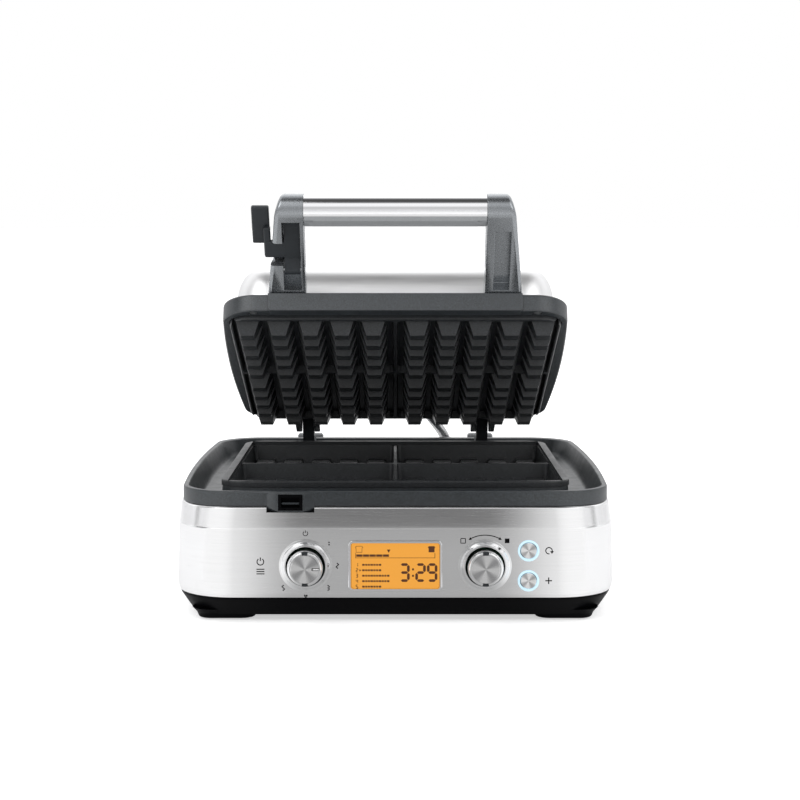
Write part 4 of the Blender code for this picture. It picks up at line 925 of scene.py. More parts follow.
# ----------------------------------------------------------------------------- lid
def lid_frame():
    inner = Outline(UPPER.half_x - 0.010, FRAME.front + 0.030, UPPER.rear - 0.0095, 0.018)
    pocket = shrink(UPPER, -FIT - 0.0003)
    rings = soften([(FRAME, FRAME_BOTTOM_Z, 0.0018), (FRAME, FRAME_TOP_Z, 0.0028),
                    (inner, FRAME_TOP_Z, 0), (inner, UPPER_TOP_Z + FIT, 0), (pocket, UPPER_TOP_Z + FIT, 0),
                    (pocket, FRAME_BOTTOM_Z, 0.0006)], steps=5)
    bm = bmesh.new()
    skin_rings(bm, rings, False)
    made = loose("lid_ring", bm)
    half = 0.235 / 2
    bridge = bmesh.new()
    add_box(bridge, (-half, FRAME.front - BRIDGE_PROUD, FRAME_BOTTOM_Z - 0.0006),
            (half, FRAME.front + 0.008, FRAME_TOP_Z))
    low_corners = [edge for edge in bridge.edges
                   if all(vert.co.z < FRAME_TOP_Z - 0.001 for vert in edge.verts)
                   and abs(edge.verts[0].co.x - edge.verts[1].co.x) < 1e-6]
    bmesh.ops.bevel(bridge, geom=low_corners, offset=0.0034, segments=5, affect="EDGES", profile=0.5)
    block = round_edges(loose("bridge", bridge), 0.0008, 3, 40)
    lugs = bmesh.new()
    arm_low, arm_high = drawn_box("hinge_arm_right")
    gap = (arm_high.x - arm_low.x) / 2 + FIT
    hinge_x = (arm_low.x + arm_high.x) / 2
    for side in (-1, 1):
        for near, far in ((-gap - 0.0065, -gap), (gap, gap + 0.0065)):
            add_box(lugs, (side * hinge_x + near, FRAME.rear - 0.001, FRAME_BOTTOM_Z - 0.009),
                    (side * hinge_x + far, FRAME.rear + 0.024, FRAME_BOTTOM_Z + 0.0155), 0.0012, 3)
    holes = bmesh.new()
    for side in (-1, 1):
        low, high = drawn_box(f"lid_screw_{sided(side)}")
        middle = (low + high) / 2
        add_cylinder(holes, (middle.x, middle.y, FRAME_BOTTOM_Z), 0.0042, 0.006, "Z", 32)
        screw(f"lid_screw_{sided(side)}", middle, (high.x - low.x) / 2, low.z, high.z)
    add_modifiers(made, [("BOOLEAN", {"operation": "UNION", "object": block, "solver": "EXACT"})])
    bpy.data.objects.remove(block)
    combine(made, lugs, "UNION")
    combine(made, holes)
    show(made, "lid", "textured_casting", "lid_frame", sharp=34)


def screw(node, middle, radius, low_z, high_z):
    """A cross-head screw that faces down."""
    bm = bmesh.new()
    profile = rounded_profile([(0, 0, 0), (radius, 0, 0), (radius, high_z - low_z, 0.0006),
                               (0, high_z - low_z, 0)], closed=False)
    add_turned(bm, profile, Vector((0, 0, 0)), 32, closed=False)
    bmesh.ops.rotate(bm, verts=bm.verts, matrix=Matrix.Rotation(math.radians(90), 3, "X"))
    bmesh.ops.translate(bm, verts=bm.verts, vec=(middle.x, middle.y, high_z))
    made = loose(f"cross_{node}", bm)
    slots = bmesh.new()
    long, thin, deep = 0.0022, 0.0004, 0.0008
    for half_x, half_y in ((long, thin), (thin, long)):
        add_box(slots, (middle.x - half_x, middle.y - half_y, low_z - 0.001),
                (middle.x + half_x, middle.y + half_y, low_z + deep))
    combine(made, slots)
    show(made, "lid", "plain_steel", node)


def lid_cover():
    """A drawn steel shell: steep rounded walls that flatten into the top."""
    bottom_z = FRAME_TOP_Z + FIT
    span = COVER_TOP_Z - bottom_z
    reach = 0.030
    wall = 0.0012
    count = 16
    outer = []
    for step in range(count + 1):
        turn = math.pi / 2 * step / count
        inset = reach * (1 - math.cos(turn)) ** 1.25
        outer.append((inset, math.sin(turn) ** 0.8))
    rings = [(shrink(COVER, inset + wall), bottom_z + share * (span - wall))
             for inset, share in reversed(outer)]
    rings += [(shrink(COVER, inset), bottom_z + share * span) for inset, share in outer]
    bm = bmesh.new()
    skin_rings(bm, rings, True)
    show(loose("steel_lid", bm), "lid", "cover_steel", "lid_cover", sharp=50)


def tangent_direction(start, centre, radius, side):
    reach = centre - start
    turn = side * math.asin(radius / reach.length)
    return Matrix.Rotation(turn, 3, "X") @ reach.normalized()


ARM_ALONG = tangent_direction(ARM_FOOT, GRIP, HANDLE_HEAD, 1)
ARM_INWARD = Matrix.Rotation(math.radians(-90), 3, "X") @ ARM_ALONG


def arc(centre, radius, start, end, steps):
    """Points on a circle in the YZ plane; angles in degrees from +Y towards +Z."""
    points = []
    for step in range(steps + 1):
        angle = math.radians(start + (end - start) * step / steps)
        points.append((centre.y + radius * math.cos(angle), centre.z + radius * math.sin(angle)))
    return points


def handle_arm_outline():
    foot_rear = ARM_FOOT + Vector((0, 0.0265, 0))
    rear_way = tangent_direction(foot_rear, GRIP, HANDLE_HEAD, -1)
    rear_normal = Matrix.Rotation(math.radians(-90), 3, "X") @ rear_way
    front_angle = math.degrees(math.atan2(-ARM_INWARD.z, -ARM_INWARD.y))
    rear_angle = math.degrees(math.atan2(rear_normal.z, rear_normal.y))
    head = arc(GRIP, HANDLE_HEAD, front_angle % 360, rear_angle, 36)
    return [(ARM_FOOT.y, ARM_FOOT.z)] + head + [(foot_rear.y, foot_rear.z)]


def add_slanted_box(bm, x_low, x_high, along_low, along_high, inward_low, inward_high):
    """A block lined up with the handle arm's front face."""
    points = [ARM_FOOT + ARM_ALONG * along + ARM_INWARD * inward for along, inward in
              ((along_low, inward_low), (along_high, inward_low), (along_high, inward_high),
               (along_low, inward_high))]
    add_profile(bm, [(point.y, point.z) for point in points], x_low, x_high)


def handle_arms():
    foot_out = drawn_box("handle_arm_right")[1].x
    head_out = foot_out - 0.0115
    inner_x = drawn_box("handle_arm_right")[0].x
    taper = (foot_out - head_out) / (GRIP.z - ARM_FOOT.z)
    latch_low, latch_high = drawn_box("latch_pin")
    slot_half = 0.0082
    slot_depth = 0.0165
    for side in (-1, 1):
        bm = bmesh.new()
        outer = add_profile(bm, handle_arm_outline(), side * inner_x, side * (inner_x + 0.02))
        for vert in outer:
            vert.co.x = side * (foot_out - taper * (vert.co.z - ARM_FOOT.z))
        rim = [edge for edge in bm.edges if all(vert in outer for vert in edge.verts)
               and not all(abs(vert.co.z - ARM_FOOT.z) < 1e-6 for vert in edge.verts)]
        bmesh.ops.bevel(bm, geom=rim, offset=0.0042, segments=6, affect="EDGES", profile=0.5)
        arm = loose(f"cast_arm_{sided(side)}", bm)
        cut = bmesh.new()
        if side < 0:
            add_slanted_box(cut, LATCH_X - slot_half, LATCH_X + slot_half, 0.0025, 0.076, -0.01, slot_depth)
            combine(arm, cut)
            cut = bmesh.new()
            add_slanted_box(cut, LATCH_X - 0.040, LATCH_X, 0.0295, 0.0535, -0.009, slot_depth - 0.0012)
            combine(arm, cut)
            cut = bmesh.new()
            add_cylinder(cut, (latch_low + latch_high) / 2, 0.0023, 0.0215, sides=24)
        else:
            add_slanted_box(cut, 0.0900, 0.1045, 0.0025, 0.066, -0.01, 0.0125)
        combine(arm, cut)
        round_edges(arm, 0.0006, 3, 35)
        show(arm, "lid", "satin_casting", f"handle_arm_{sided(side)}", sharp=40)


def handle_bar():
    length = TUBE_HIGH.x - TUBE_LOW.x
    bm = bmesh.new()
    add_cylinder(bm, GRIP, HANDLE_RADIUS, length, sides=120)
    tube = loose("polished_bar", bm)
    strip_half = 0.0090
    groove_z = GRIP.z - 0.0095
    groove = bmesh.new()
    add_box(groove, (-length, GRIP.y - strip_half, GRIP.z - 0.03), (length, GRIP.y + strip_half, groove_z))
    combine(tube, groove)
    show(tube, "lid", "polished_steel", "handle_tube", sharp=20)
    rail = strip_half - FIT
    low_z = drawn_box("handle_grip_strip")[0].z
    bm = bmesh.new()
    face = [(GRIP.y - rail, groove_z - FIT), (GRIP.y - rail, low_z + 0.0025),
            (GRIP.y - rail + 0.0030, low_z), (GRIP.y + rail - 0.0030, low_z),
            (GRIP.y + rail, low_z + 0.0025), (GRIP.y + rail, groove_z - FIT)]
    add_profile(bm, face, TUBE_LOW.x, TUBE_HIGH.x)
    strip = round_edges(loose("grip_strip", bm), 0.0005, 2, 20)
    for side in (-1, 1):
        end_x = side * (length / 2 - 0.0075)
        for y in (GRIP.y - rail + 0.0036, GRIP.y + rail - 0.0036):
            slot_end = bmesh.new()
            add_cylinder(slot_end, (end_x, y, low_z), 0.0012, 0.0012, "Z", 20)
            combine(strip, slot_end)
            slot = bmesh.new()
            add_box(slot, (min(end_x, side * length), y - 0.0012, low_z - 0.0006),
                    (max(end_x, side * length), y + 0.0012, low_z + 0.00055))
            combine(strip, slot)
    show(strip, "lid", "grey_plastic", "handle_grip_strip", sharp=25)


def latch():
    """Drawn hanging straight down from its pin, as when it holds the lid shut."""
    hub = Vector((LATCH_X, HUB.y, HUB.z))
    shank_front = CATCH_FRONT_Y - 0.0063
    shank_rear = CATCH_FRONT_Y - 0.0006
    tip_top = RIM_TOP_Z - 0.0058
    tip_low = tip_top - 0.0031
    tip_rear = CATCH_FRONT_Y + 0.0042
    half = 0.007
    outline = arc(hub, 0.0046, -20, 170, 20)
    outline += [(shank_front, hub.z - 0.0075), (shank_front, tip_low + 0.0015),
                (shank_front + 0.0015, tip_low - 0.0003), (tip_rear, tip_low), (tip_rear, tip_top - 0.0014),
                (tip_rear - 0.0008, tip_top), (shank_rear, tip_top), (shank_rear, hub.z - 0.0100)]
    bm = bmesh.new()
    add_profile(bm, outline, LATCH_X - half, LATCH_X + half)
    lever = loose("latch_hook", bm)
    bar_left = LATCH_X - 0.0250
    bar = bmesh.new()
    add_box(bar, (bar_left, shank_front, hub.z - 0.0275), (LATCH_X, shank_rear, hub.z - 0.0105), 0.0014, 4)
    neck = bmesh.new()
    add_box(neck, (bar_left - 0.0005, shank_front - 0.0005, hub.z - 0.0420),
            (bar_left + 0.0058, shank_rear - 0.0006, hub.z - 0.0110), 0.0014, 4)
    paddle = bmesh.new()
    add_box(paddle, (LATCH_X - 0.0360, shank_front - 0.0052, hub.z - 0.0610),
            (LATCH_X - 0.0200, shank_front + 0.0002, hub.z - 0.0225), 0.0016, 4)
    for tool in (bar, neck, paddle):
        combine(lever, tool, "UNION")
    bore = bmesh.new()
    add_cylinder(bore, hub, 0.0023, 0.03, sides=24)
    combine(lever, bore)
    round_edges(lever, 0.0005, 2, 40)
    show(lever, "latch", "dark_plastic", "latch_lever", sharp=40)
    refined("latch_pin", "plain_steel", 0.0003)


# --------------------------------------------------------------------- front panel
def knob(side):
    name = sided(side)
    centre = Vector((side * KNOB_X, BODY.front, PANEL_Z))
    bore = KNOB_RADIUS + 0.0012
    sleeve = bore + 0.0012
    bm = bmesh.new()
    profile = rounded_profile([
        (bore, 0.0040, 0.0003), (bore + 0.0009, 0.0058, 0.0005), (bore + 0.0021, 0.0057, 0.0006),
        (BEZEL_RADIUS - 0.0034, 0.0034, 0.0014), (BEZEL_RADIUS - 0.0020, 0.0014, 0.0007),
        (BEZEL_RADIUS, 0.0010, 0.0004), (BEZEL_RADIUS, FIT, 0), (sleeve, FIT, 0), (sleeve, -0.004, 0),
        (bore, -0.004, 0)])
    add_turned(bm, profile, centre, 96)
    show(loose(f"flared_bezel_{name}", bm), "base", "satin_silver", f"knob_bezel_{name}", sharp=40)
    shaft_bore = 0.0033
    face_radius = 0.0126
    recess = face_radius + FIT
    bm = bmesh.new()
    profile = rounded_profile([
        (0, KNOB_PROUD - 0.0016, 0), (recess, KNOB_PROUD - 0.0016, 0), (recess, KNOB_PROUD - 0.0006, 0.0002),
        (recess + 0.0009, KNOB_PROUD - 0.0004, 0.0003), (KNOB_RADIUS - 0.0008, KNOB_PROUD - 0.0016, 0.0006),
        (KNOB_RADIUS, KNOB_PROUD - 0.0045, 0.0012), (KNOB_RADIUS, -0.0030, 0.0003), (shaft_bore, -0.0030, 0),
        (shaft_bore, KNOB_PROUD - 0.0050, 0), (0, KNOB_PROUD - 0.0050, 0)], closed=False)
    add_turned(bm, profile, centre, 96, closed=False)
    body = loose(f"turned_knob_{name}", bm)
    # Dark plastic blocks sit in the rim ring at the top and bottom of each knob.
    dark_mark_turns = (90, -90)
    cuts = bmesh.new()
    for turn in dark_mark_turns:
        add_rim_block(cuts, centre, turn, 11, face_radius - 0.0006, KNOB_RADIUS + 0.001,
                      KNOB_PROUD - 0.0030, KNOB_PROUD + 0.001)
    combine(body, cuts)
    show(body, f"{name}_knob", "satin_silver", f"knob_{name}", sharp=35)
    for index, turn in enumerate(dark_mark_turns):
        bm = bmesh.new()
        add_rim_block(bm, centre, turn, 10.4, face_radius + FIT, KNOB_RADIUS - 0.0004,
                      KNOB_PROUD - 0.0029, KNOB_PROUD - 0.0013)
        show(loose(f"knob_dark_mark_{name}_{index + 1}", bm), f"{name}_knob", "dark_plastic")
    bm = bmesh.new()
    profile = rounded_profile([
        (0, KNOB_PROUD - 0.0002, 0), (face_radius * 0.5, KNOB_PROUD - 0.00018, 0),
        (face_radius, KNOB_PROUD, 0.0004), (face_radius, KNOB_PROUD - 0.0016 + FIT, 0),
        (0, KNOB_PROUD - 0.0016 + FIT, 0)], closed=False)
    add_turned(bm, profile, centre, 96, closed=False)
    face = loose(f"spun_face_{name}", bm)
    show(face, f"{name}_knob", "spun_steel", f"knob_face_{name}", sharp=35)


def add_rim_block(bm, centre, turn, half_angle, inner, outer, low, high):
    """A block of ring, centred on turn degrees from +X towards +Z, facing the front."""
    steps = 8
    loops = []
    for radius, height in ((inner, low), (outer, low), (outer, high), (inner, high)):
        loops.append([bm.verts.new(centre + Vector((
            radius * math.cos(math.radians(turn - half_angle + 2 * half_angle * step / steps)), -height,
            radius * math.sin(math.radians(turn - half_angle + 2 * half_angle * step / steps)))))
            for step in range(steps + 1)])
    for index in range(4):
        first, second = loops[index], loops[(index + 1) % 4]
        for step in range(steps):
            bm.faces.new((first[step], first[step + 1], second[step + 1], second[step]))
    bm.faces.new([loop[0] for loop in loops])
    bm.faces.new([loop[-1] for loop in reversed(loops)])


def knob_pointer():
    """The white line that shows which setting the left knob is on."""
    front = BODY.front - KNOB_PROUD
    x = -KNOB_X
    for name, reach, half, proud, finish in (("backing", (0.0062, 0.0128), 0.0011, 0.00006, "print_ink"),
                                             ("line", (0.0072, 0.0127), 0.0005, 0.00012, "mark_white")):
        bm = bmesh.new()
        add_box(bm, (x + reach[0], front - proud, PANEL_Z - half),
                (x + reach[1], front + 0.0002, PANEL_Z + half))
        show(loose(f"pointer_{name}", bm), "left_knob", finish)


def push_buttons():
    for name, z in BUTTON_ROWS.items():
        centre = Vector((BUTTON_X, BODY.front, z))
        bore = BUTTON_RADIUS + 0.0006
        sleeve = bore + 0.0009
        bm = bmesh.new()
        profile = rounded_profile([
            (bore, 0.0014, 0.0003), (RING_RADIUS - 0.0009, 0.0016, 0.0005), (RING_RADIUS, 0.0006, 0.0004),
            (RING_RADIUS, FIT, 0), (sleeve, FIT, 0), (sleeve, -0.0030, 0), (bore, -0.0030, 0)])
        add_turned(bm, profile, centre, 72)
        show(loose(f"light_ring_{name}", bm), "base", "lit_ring", f"button_ring_{name}", sharp=40)
        bm = bmesh.new()
        profile = rounded_profile([
            (0, 0.0011, 0), (BUTTON_RADIUS * 0.5, 0.00115, 0), (BUTTON_RADIUS, 0.0014, 0.0005),
            (BUTTON_RADIUS, -0.0055, 0), (0, -0.0055, 0)], closed=False)
        add_turned(bm, profile, centre, 72, closed=False)
        show(loose(f"spun_button_{name}", bm), f"{name}_button", "spun_steel", f"button_{name}", sharp=35)


def display():
    low, high = drawn_box("display_bezel")
    half_x = (high.x - low.x) / 2
    half_z = (high.z - low.z) / 2
    mid_z = (low.z + high.z) / 2
    bm = bmesh.new()
    loops = []
    for inset, y, radius in ((0.0, BODY.front - FIT, 0.0042), (0.0, BODY.front - 0.0012, 0.0042),
                             (0.0003, BODY.front - 0.0018, 0.0040), (0.0009, BODY.front - 0.0022, 0.0034),
                             (0.0017, BODY.front - 0.0022, 0.0028), (0.0022, BODY.front - 0.0019, 0.0023),
                             (0.0026, BODY.front - 0.0008, 0.0020), (0.0026, BODY.front + 0.003, 0.0020),
                             (0.0014, BODY.front + 0.003, 0.0030), (0.0014, BODY.front - FIT, 0.0030)):
        loops.append([bm.verts.new((x, y, mid_z + z))
                      for x, z in panel_outline(half_x - inset, half_z - inset, radius)])
    join_loops(bm, loops + [loops[0]])
    show(loose("screen_bezel", bm), "base", "satin_silver", "display_bezel", sharp=35)
    low, high = drawn_box("display_window")
    half_x = (high.x - low.x) / 2 + 0.0002
    half_z = (high.z - low.z) / 2 + 0.0002
    bm = bmesh.new()
    loops = [[bm.verts.new((x, y, mid_z + z)) for x, z in panel_outline(half_x, half_z, 0.0020)]
             for y in (low.y + 0.0004, high.y)]
    join_loops(bm, loops)
    bm.faces.new(loops[0])
    bm.faces.new(loops[1])
    screen = loose("lcd_screen", bm)
    show(screen, "base", "amber_window", "display_window")
    screen_marks(half_x, half_z, mid_z, low.y + 0.0004)


def panel_outline(half_x, half_z, radius, steps=8):
    points = []
    for x, z, start in ((half_x - radius, radius - half_z, -90), (half_x - radius, half_z - radius, 0),
                        (radius - half_x, half_z - radius, 90), (radius - half_x, radius - half_z, 180)):
        for step in range(steps + 1):
            angle = math.radians(start + 90 * step / steps)
            points.append((x + radius * math.cos(angle), z + radius * math.sin(angle)))
    return points


def join_loops(bm, loops):
    for first, second in zip(loops, loops[1:]):
        for index in range(len(first)):
            after = (index + 1) % len(first)
            bm.faces.new((first[index], first[after], second[after], second[index]))


SEGMENTS = {"0": "abcdef", "1": "bc", "2": "abged", "3": "abgcd", "4": "fgbc", "5": "afgcd",
            "6": "afgedc", "7": "abc", "8": "abcdefg", "9": "abcdfg"}


def add_flat(bm, points, y, thick):
    """A thin printed or lit shape on the panel, from (x, z) points."""
    face = bm.faces.new([bm.verts.new((x, y, z)) for x, z in points])
    grown = bmesh.ops.extrude_face_region(bm, geom=[face])["geom"]
    bmesh.ops.translate(bm, verts=[item for item in grown if isinstance(item, bmesh.types.BMVert)],
                        vec=(0, -thick, 0))


def add_stroke(bm, start, end, width, y, thick, pointed=True):
    start, end = Vector(start), Vector(end)
    along = (end - start).normalized() * width / 2
    across = Vector((-along.y, along.x))
    if pointed:
        points = [start, start + along + across, end - along + across, end, end - along - across,
                  start + along - across]
    else:
        points = [start + across, end + across, end - across, start - across]
    add_flat(bm, [tuple(point) for point in points], y, thick)


def add_digit(bm, digit, x, z, width, height, stroke, y, thick):
    """A seven-segment digit whose lower left corner is at x, z."""
    corners = {"a": ((0, 1), (1, 1)), "b": ((1, 1), (1, 0.5)), "c": ((1, 0.5), (1, 0)),
               "d": ((0, 0), (1, 0)), "e": ((0, 0.5), (0, 0)), "f": ((0, 1), (0, 0.5)),
               "g": ((0, 0.5), (1, 0.5))}
    for segment in SEGMENTS[digit]:
        ends = [Vector((x + share_x * width, z + share_z * height)) for share_x, share_z in corners[segment]]
        gap = (ends[1] - ends[0]).normalized() * stroke * 0.12
        add_stroke(bm, ends[0] + gap, ends[1] - gap, stroke, y, thick)


def screen_marks(half_x, half_z, mid_z, front_y):
    """What the screen shows: a browning scale, a menu of five rows and the time left."""
    y = front_y + 0.00002
    thick = 0.00012
    bm = bmesh.new()
    left = -half_x * 0.90
    right = half_x * 0.90
    bar_z = mid_z + half_z * 0.36
    bar_high = half_z * 0.17
    add_stroke(bm, (left, bar_z - bar_high * 0.1), (left, bar_z + bar_high * 1.3), 0.0005, y, thick, False)
    add_stroke(bm, (right, bar_z - bar_high * 0.1), (right, bar_z + bar_high * 1.3), 0.0005, y, thick, False)
    add_stroke(bm, (left, bar_z), (right, bar_z), 0.0004, y, thick, False)
    cells = 12
    full_cells = 5
    pitch = (right - left) / cells
    for cell in range(full_cells):
        add_stroke(bm, (left + 0.0006 + cell * pitch, bar_z + bar_high * 0.6),
                   (left + 0.0006 + (cell + 0.93) * pitch, bar_z + bar_high * 0.6), bar_high * 0.62, y, thick,
                   False)
    marker = left + full_cells * pitch
    add_flat(bm, [(marker - 0.0016, bar_z + bar_high * 2.2), (marker + 0.0016, bar_z + bar_high * 2.2),
                  (marker, bar_z + bar_high * 1.3)], y, thick)
    icon_z = mid_z + half_z * 0.74
    slice_outline = [(-1, -1), (1, -1), (1, 0.35), (1.3, 0.7), (0.9, 1.1), (-0.9, 1.1), (-1.3, 0.7),
                     (-1, 0.35)]
    size = half_z * 0.13
    add_flat(bm, [(right - 0.003 + size * px, icon_z + size * pz) for px, pz in slice_outline], y, thick)
    for first, second in zip(slice_outline, slice_outline[1:] + slice_outline[:1]):
        add_stroke(bm, (left + 0.003 + size * first[0], icon_z + size * first[1]),
                   (left + 0.003 + size * second[0], icon_z + size * second[1]), 0.0004, y, thick, False)
    rows = 5
    row_pitch = half_z * 0.245
    text_high = row_pitch * 0.62
    bar_lengths = (0.0168, 0.0162, 0.0230, 0.0250, 0.0158)
    first_z = mid_z + half_z * 0.125
    for row in range(rows):
        row_z = first_z - row * row_pitch
        add_digit(bm, str(row + 1), left + 0.0003, row_z - text_high, text_high * 0.5, text_high, 0.0007, y,
                  thick)
        x = left + 0.0058
        block = 0
        while x < left + 0.0058 + bar_lengths[row]:
            width = 0.0017 if block % 3 else 0.0022
            add_stroke(bm, (x, row_z - text_high / 2), (x + width, row_z - text_high / 2),
                       text_high * 0.55, y, thick, False)
            x += width + 0.0006
            block += 1
    row_z = first_z - row_pitch - text_high / 2
    add_flat(bm, [(left + 0.0033, row_z + 0.0011), (left + 0.0049, row_z), (left + 0.0033, row_z - 0.0011)],
             y, thick)
    digit_high = half_z * 0.72
    digit_wide = digit_high * 0.48
    base_z = mid_z - half_z * 0.66
    x = half_x * 0.12
    for digit in "3:29":
        if digit == ":":
            for share in (0.3, 0.7):
                dot_z = base_z + share * digit_high
                add_stroke(bm, (x - 0.0001, dot_z), (x + 0.0016, dot_z), 0.0018, y, thick, False)
            x += 0.0040
            continue
        add_digit(bm, digit, x, base_z, digit_wide, digit_high, 0.0024, y, thick)
        x += digit_wide + 0.0034
    show(loose("screen_marks", bm), "base", "lcd_ink")


def print_on_panel():
    """Dial numbers, the setting arrows and plain icons in place of words."""
    y = BODY.front + 0.00001
    thick = 0.00006
    bm = bmesh.new()
    reach = 0.0285
    high = 0.0042
    for index in range(5):
        angle = math.radians(45 - 45 * index)
        x = -KNOB_X + reach * math.cos(angle)
        z = PANEL_Z + reach * math.sin(angle)
        add_digit(bm, str(index + 1), x - high * 0.22, z - high / 2, high * 0.44, high, 0.0013, y, thick)
    power_icon(bm, -KNOB_X, PANEL_Z + reach + 0.0008, 0.0021, y, thick)
    power_icon(bm, -KNOB_X - 0.0405, PANEL_Z + 0.0036, 0.0030, y, thick)
    for line in range(3):
        z = PANEL_Z - 0.0032 - 0.0021 * line
        add_stroke(bm, (-KNOB_X - 0.0441, z), (-KNOB_X - 0.0369, z), 0.0009, y, thick, False)
    arrow_reach = 0.0278
    add_arc(bm, KNOB_X, PANEL_Z, arrow_reach, 63, 117, 0.0008, y, thick)
    for angle, turn in ((61, -1), (119, 1)):
        tip = Vector((KNOB_X, PANEL_Z)) + arrow_reach * direction(angle + 3.2 * turn)
        back = Vector((KNOB_X, PANEL_Z)) + arrow_reach * direction(angle - 2.2 * turn)
        out = direction(angle) * 0.0015
        add_flat(bm, [tuple(tip), tuple(back + out), tuple(back - out)], y, thick)
    for angle, filled in ((131, False), (49, True)):
        middle = Vector((KNOB_X, PANEL_Z)) + 0.0300 * direction(angle)
        size = 0.0021
        square = [middle + size * Vector(corner) for corner in ((-1, -1), (1, -1), (1, 1), (-1, 1))]
        if filled:
            add_flat(bm, [tuple(point) for point in square], y, thick)
        else:
            for first, second in zip(square, square[1:] + square[:1]):
                add_stroke(bm, first, second, 0.0007, y, thick, False)
    icon_x = BUTTON_X + RING_RADIUS + 0.0085
    upper = BUTTON_ROWS["upper"]
    add_arc(bm, icon_x, upper, 0.0029, -20, 280, 0.0009, y, thick)
    tip = Vector((icon_x, upper)) + 0.0029 * direction(-20)
    add_flat(bm, [(tip.x - 0.0018, tip.y + 0.0006), (tip.x + 0.0017, tip.y + 0.0006),
                  (tip.x, tip.y - 0.0019)], y, thick)
    lower = BUTTON_ROWS["lower"]
    arm = 0.0030
    add_stroke(bm, (icon_x - arm, lower), (icon_x + arm, lower), 0.0010, y, thick, False)
    add_stroke(bm, (icon_x, lower - arm), (icon_x, lower + arm), 0.0010, y - 0.00002, thick, False)
    show(loose("panel_print", bm), "base", "print_ink")


def direction(angle):
    return Vector((math.cos(math.radians(angle)), math.sin(math.radians(angle))))


def add_arc(bm, x, z, radius, start, end, width, y, thick):
    steps = 16
    points = [(x + reach * math.cos(math.radians(start + (end - start) * step / steps)),
               z + reach * math.sin(math.radians(start + (end - start) * step / steps)))
              for reach, order in ((radius + width / 2, 1), (radius - width / 2, -1))
              for step in range(steps + 1)[::order]]
    add_flat(bm, points, y, thick)


def power_icon(bm, x, z, radius, y, thick):
    add_arc(bm, x, z, radius, 125, 415, radius * 0.3, y, thick)
    add_stroke(bm, (x, z + radius * 0.25), (x, z + radius * 1.3), radius * 0.3, y - 0.00002, thick, False)


# ------------------------------------------------------------- pieces left as packed
def carried_over():
    """Inner pieces that keep their CAD mesh get their finish."""
    slots = {item["node"]: item["material_slot"] for item in frame["record"]["subparts"]}
    for name, node in frame["nodes"].items():
        if node.hide_render:
            continue
        node.data.materials.clear()
        node.data.materials.append(FINISHES[slots[name]])


# ------------------------------------------------------------------ camera and light
def camera():
    sensor = 36.0
    focal_length = 78.975
    sideways = 0.005875
    eye = Vector((0, BODY.front - 1.550, 0.360))
    made = bpy.data.objects.new("camera", bpy.data.cameras.new("camera"))
    bpy.context.scene.collection.objects.link(made)
    made.location = eye
    made.rotation_euler = Euler((math.radians(90 - 5.79), 0, 0))
    made.data.sensor_width = sensor
    made.data.lens = focal_length
    made.data.shift_x = sideways
    bpy.context.scene.camera = made


def area_light(name, place, target, size, power, shape_y=None):
    data = bpy.data.lights.new(name, "AREA")
    data.energy = power
    data.shape = "RECTANGLE"
    data.size = size
    data.size_y = shape_y or size
    made = bpy.data.objects.new(name, data)
    bpy.context.scene.collection.objects.link(made)
    made.location = place
    made.rotation_euler = (Vector(target) - Vector(place)).to_track_quat("-Z", "Y").to_euler()
    return made


def fill_ramp(ramp, stops, blue=1.0):
    """Sets the grey levels of a colour ramp from (position, level) pairs."""
    while len(ramp.color_ramp.elements) < len(stops):
        ramp.color_ramp.elements.new(0.5)
    for element, (position, level) in zip(ramp.color_ramp.elements, stops):
        element.position = position
        element.color = (level, level, level * blue, 1)


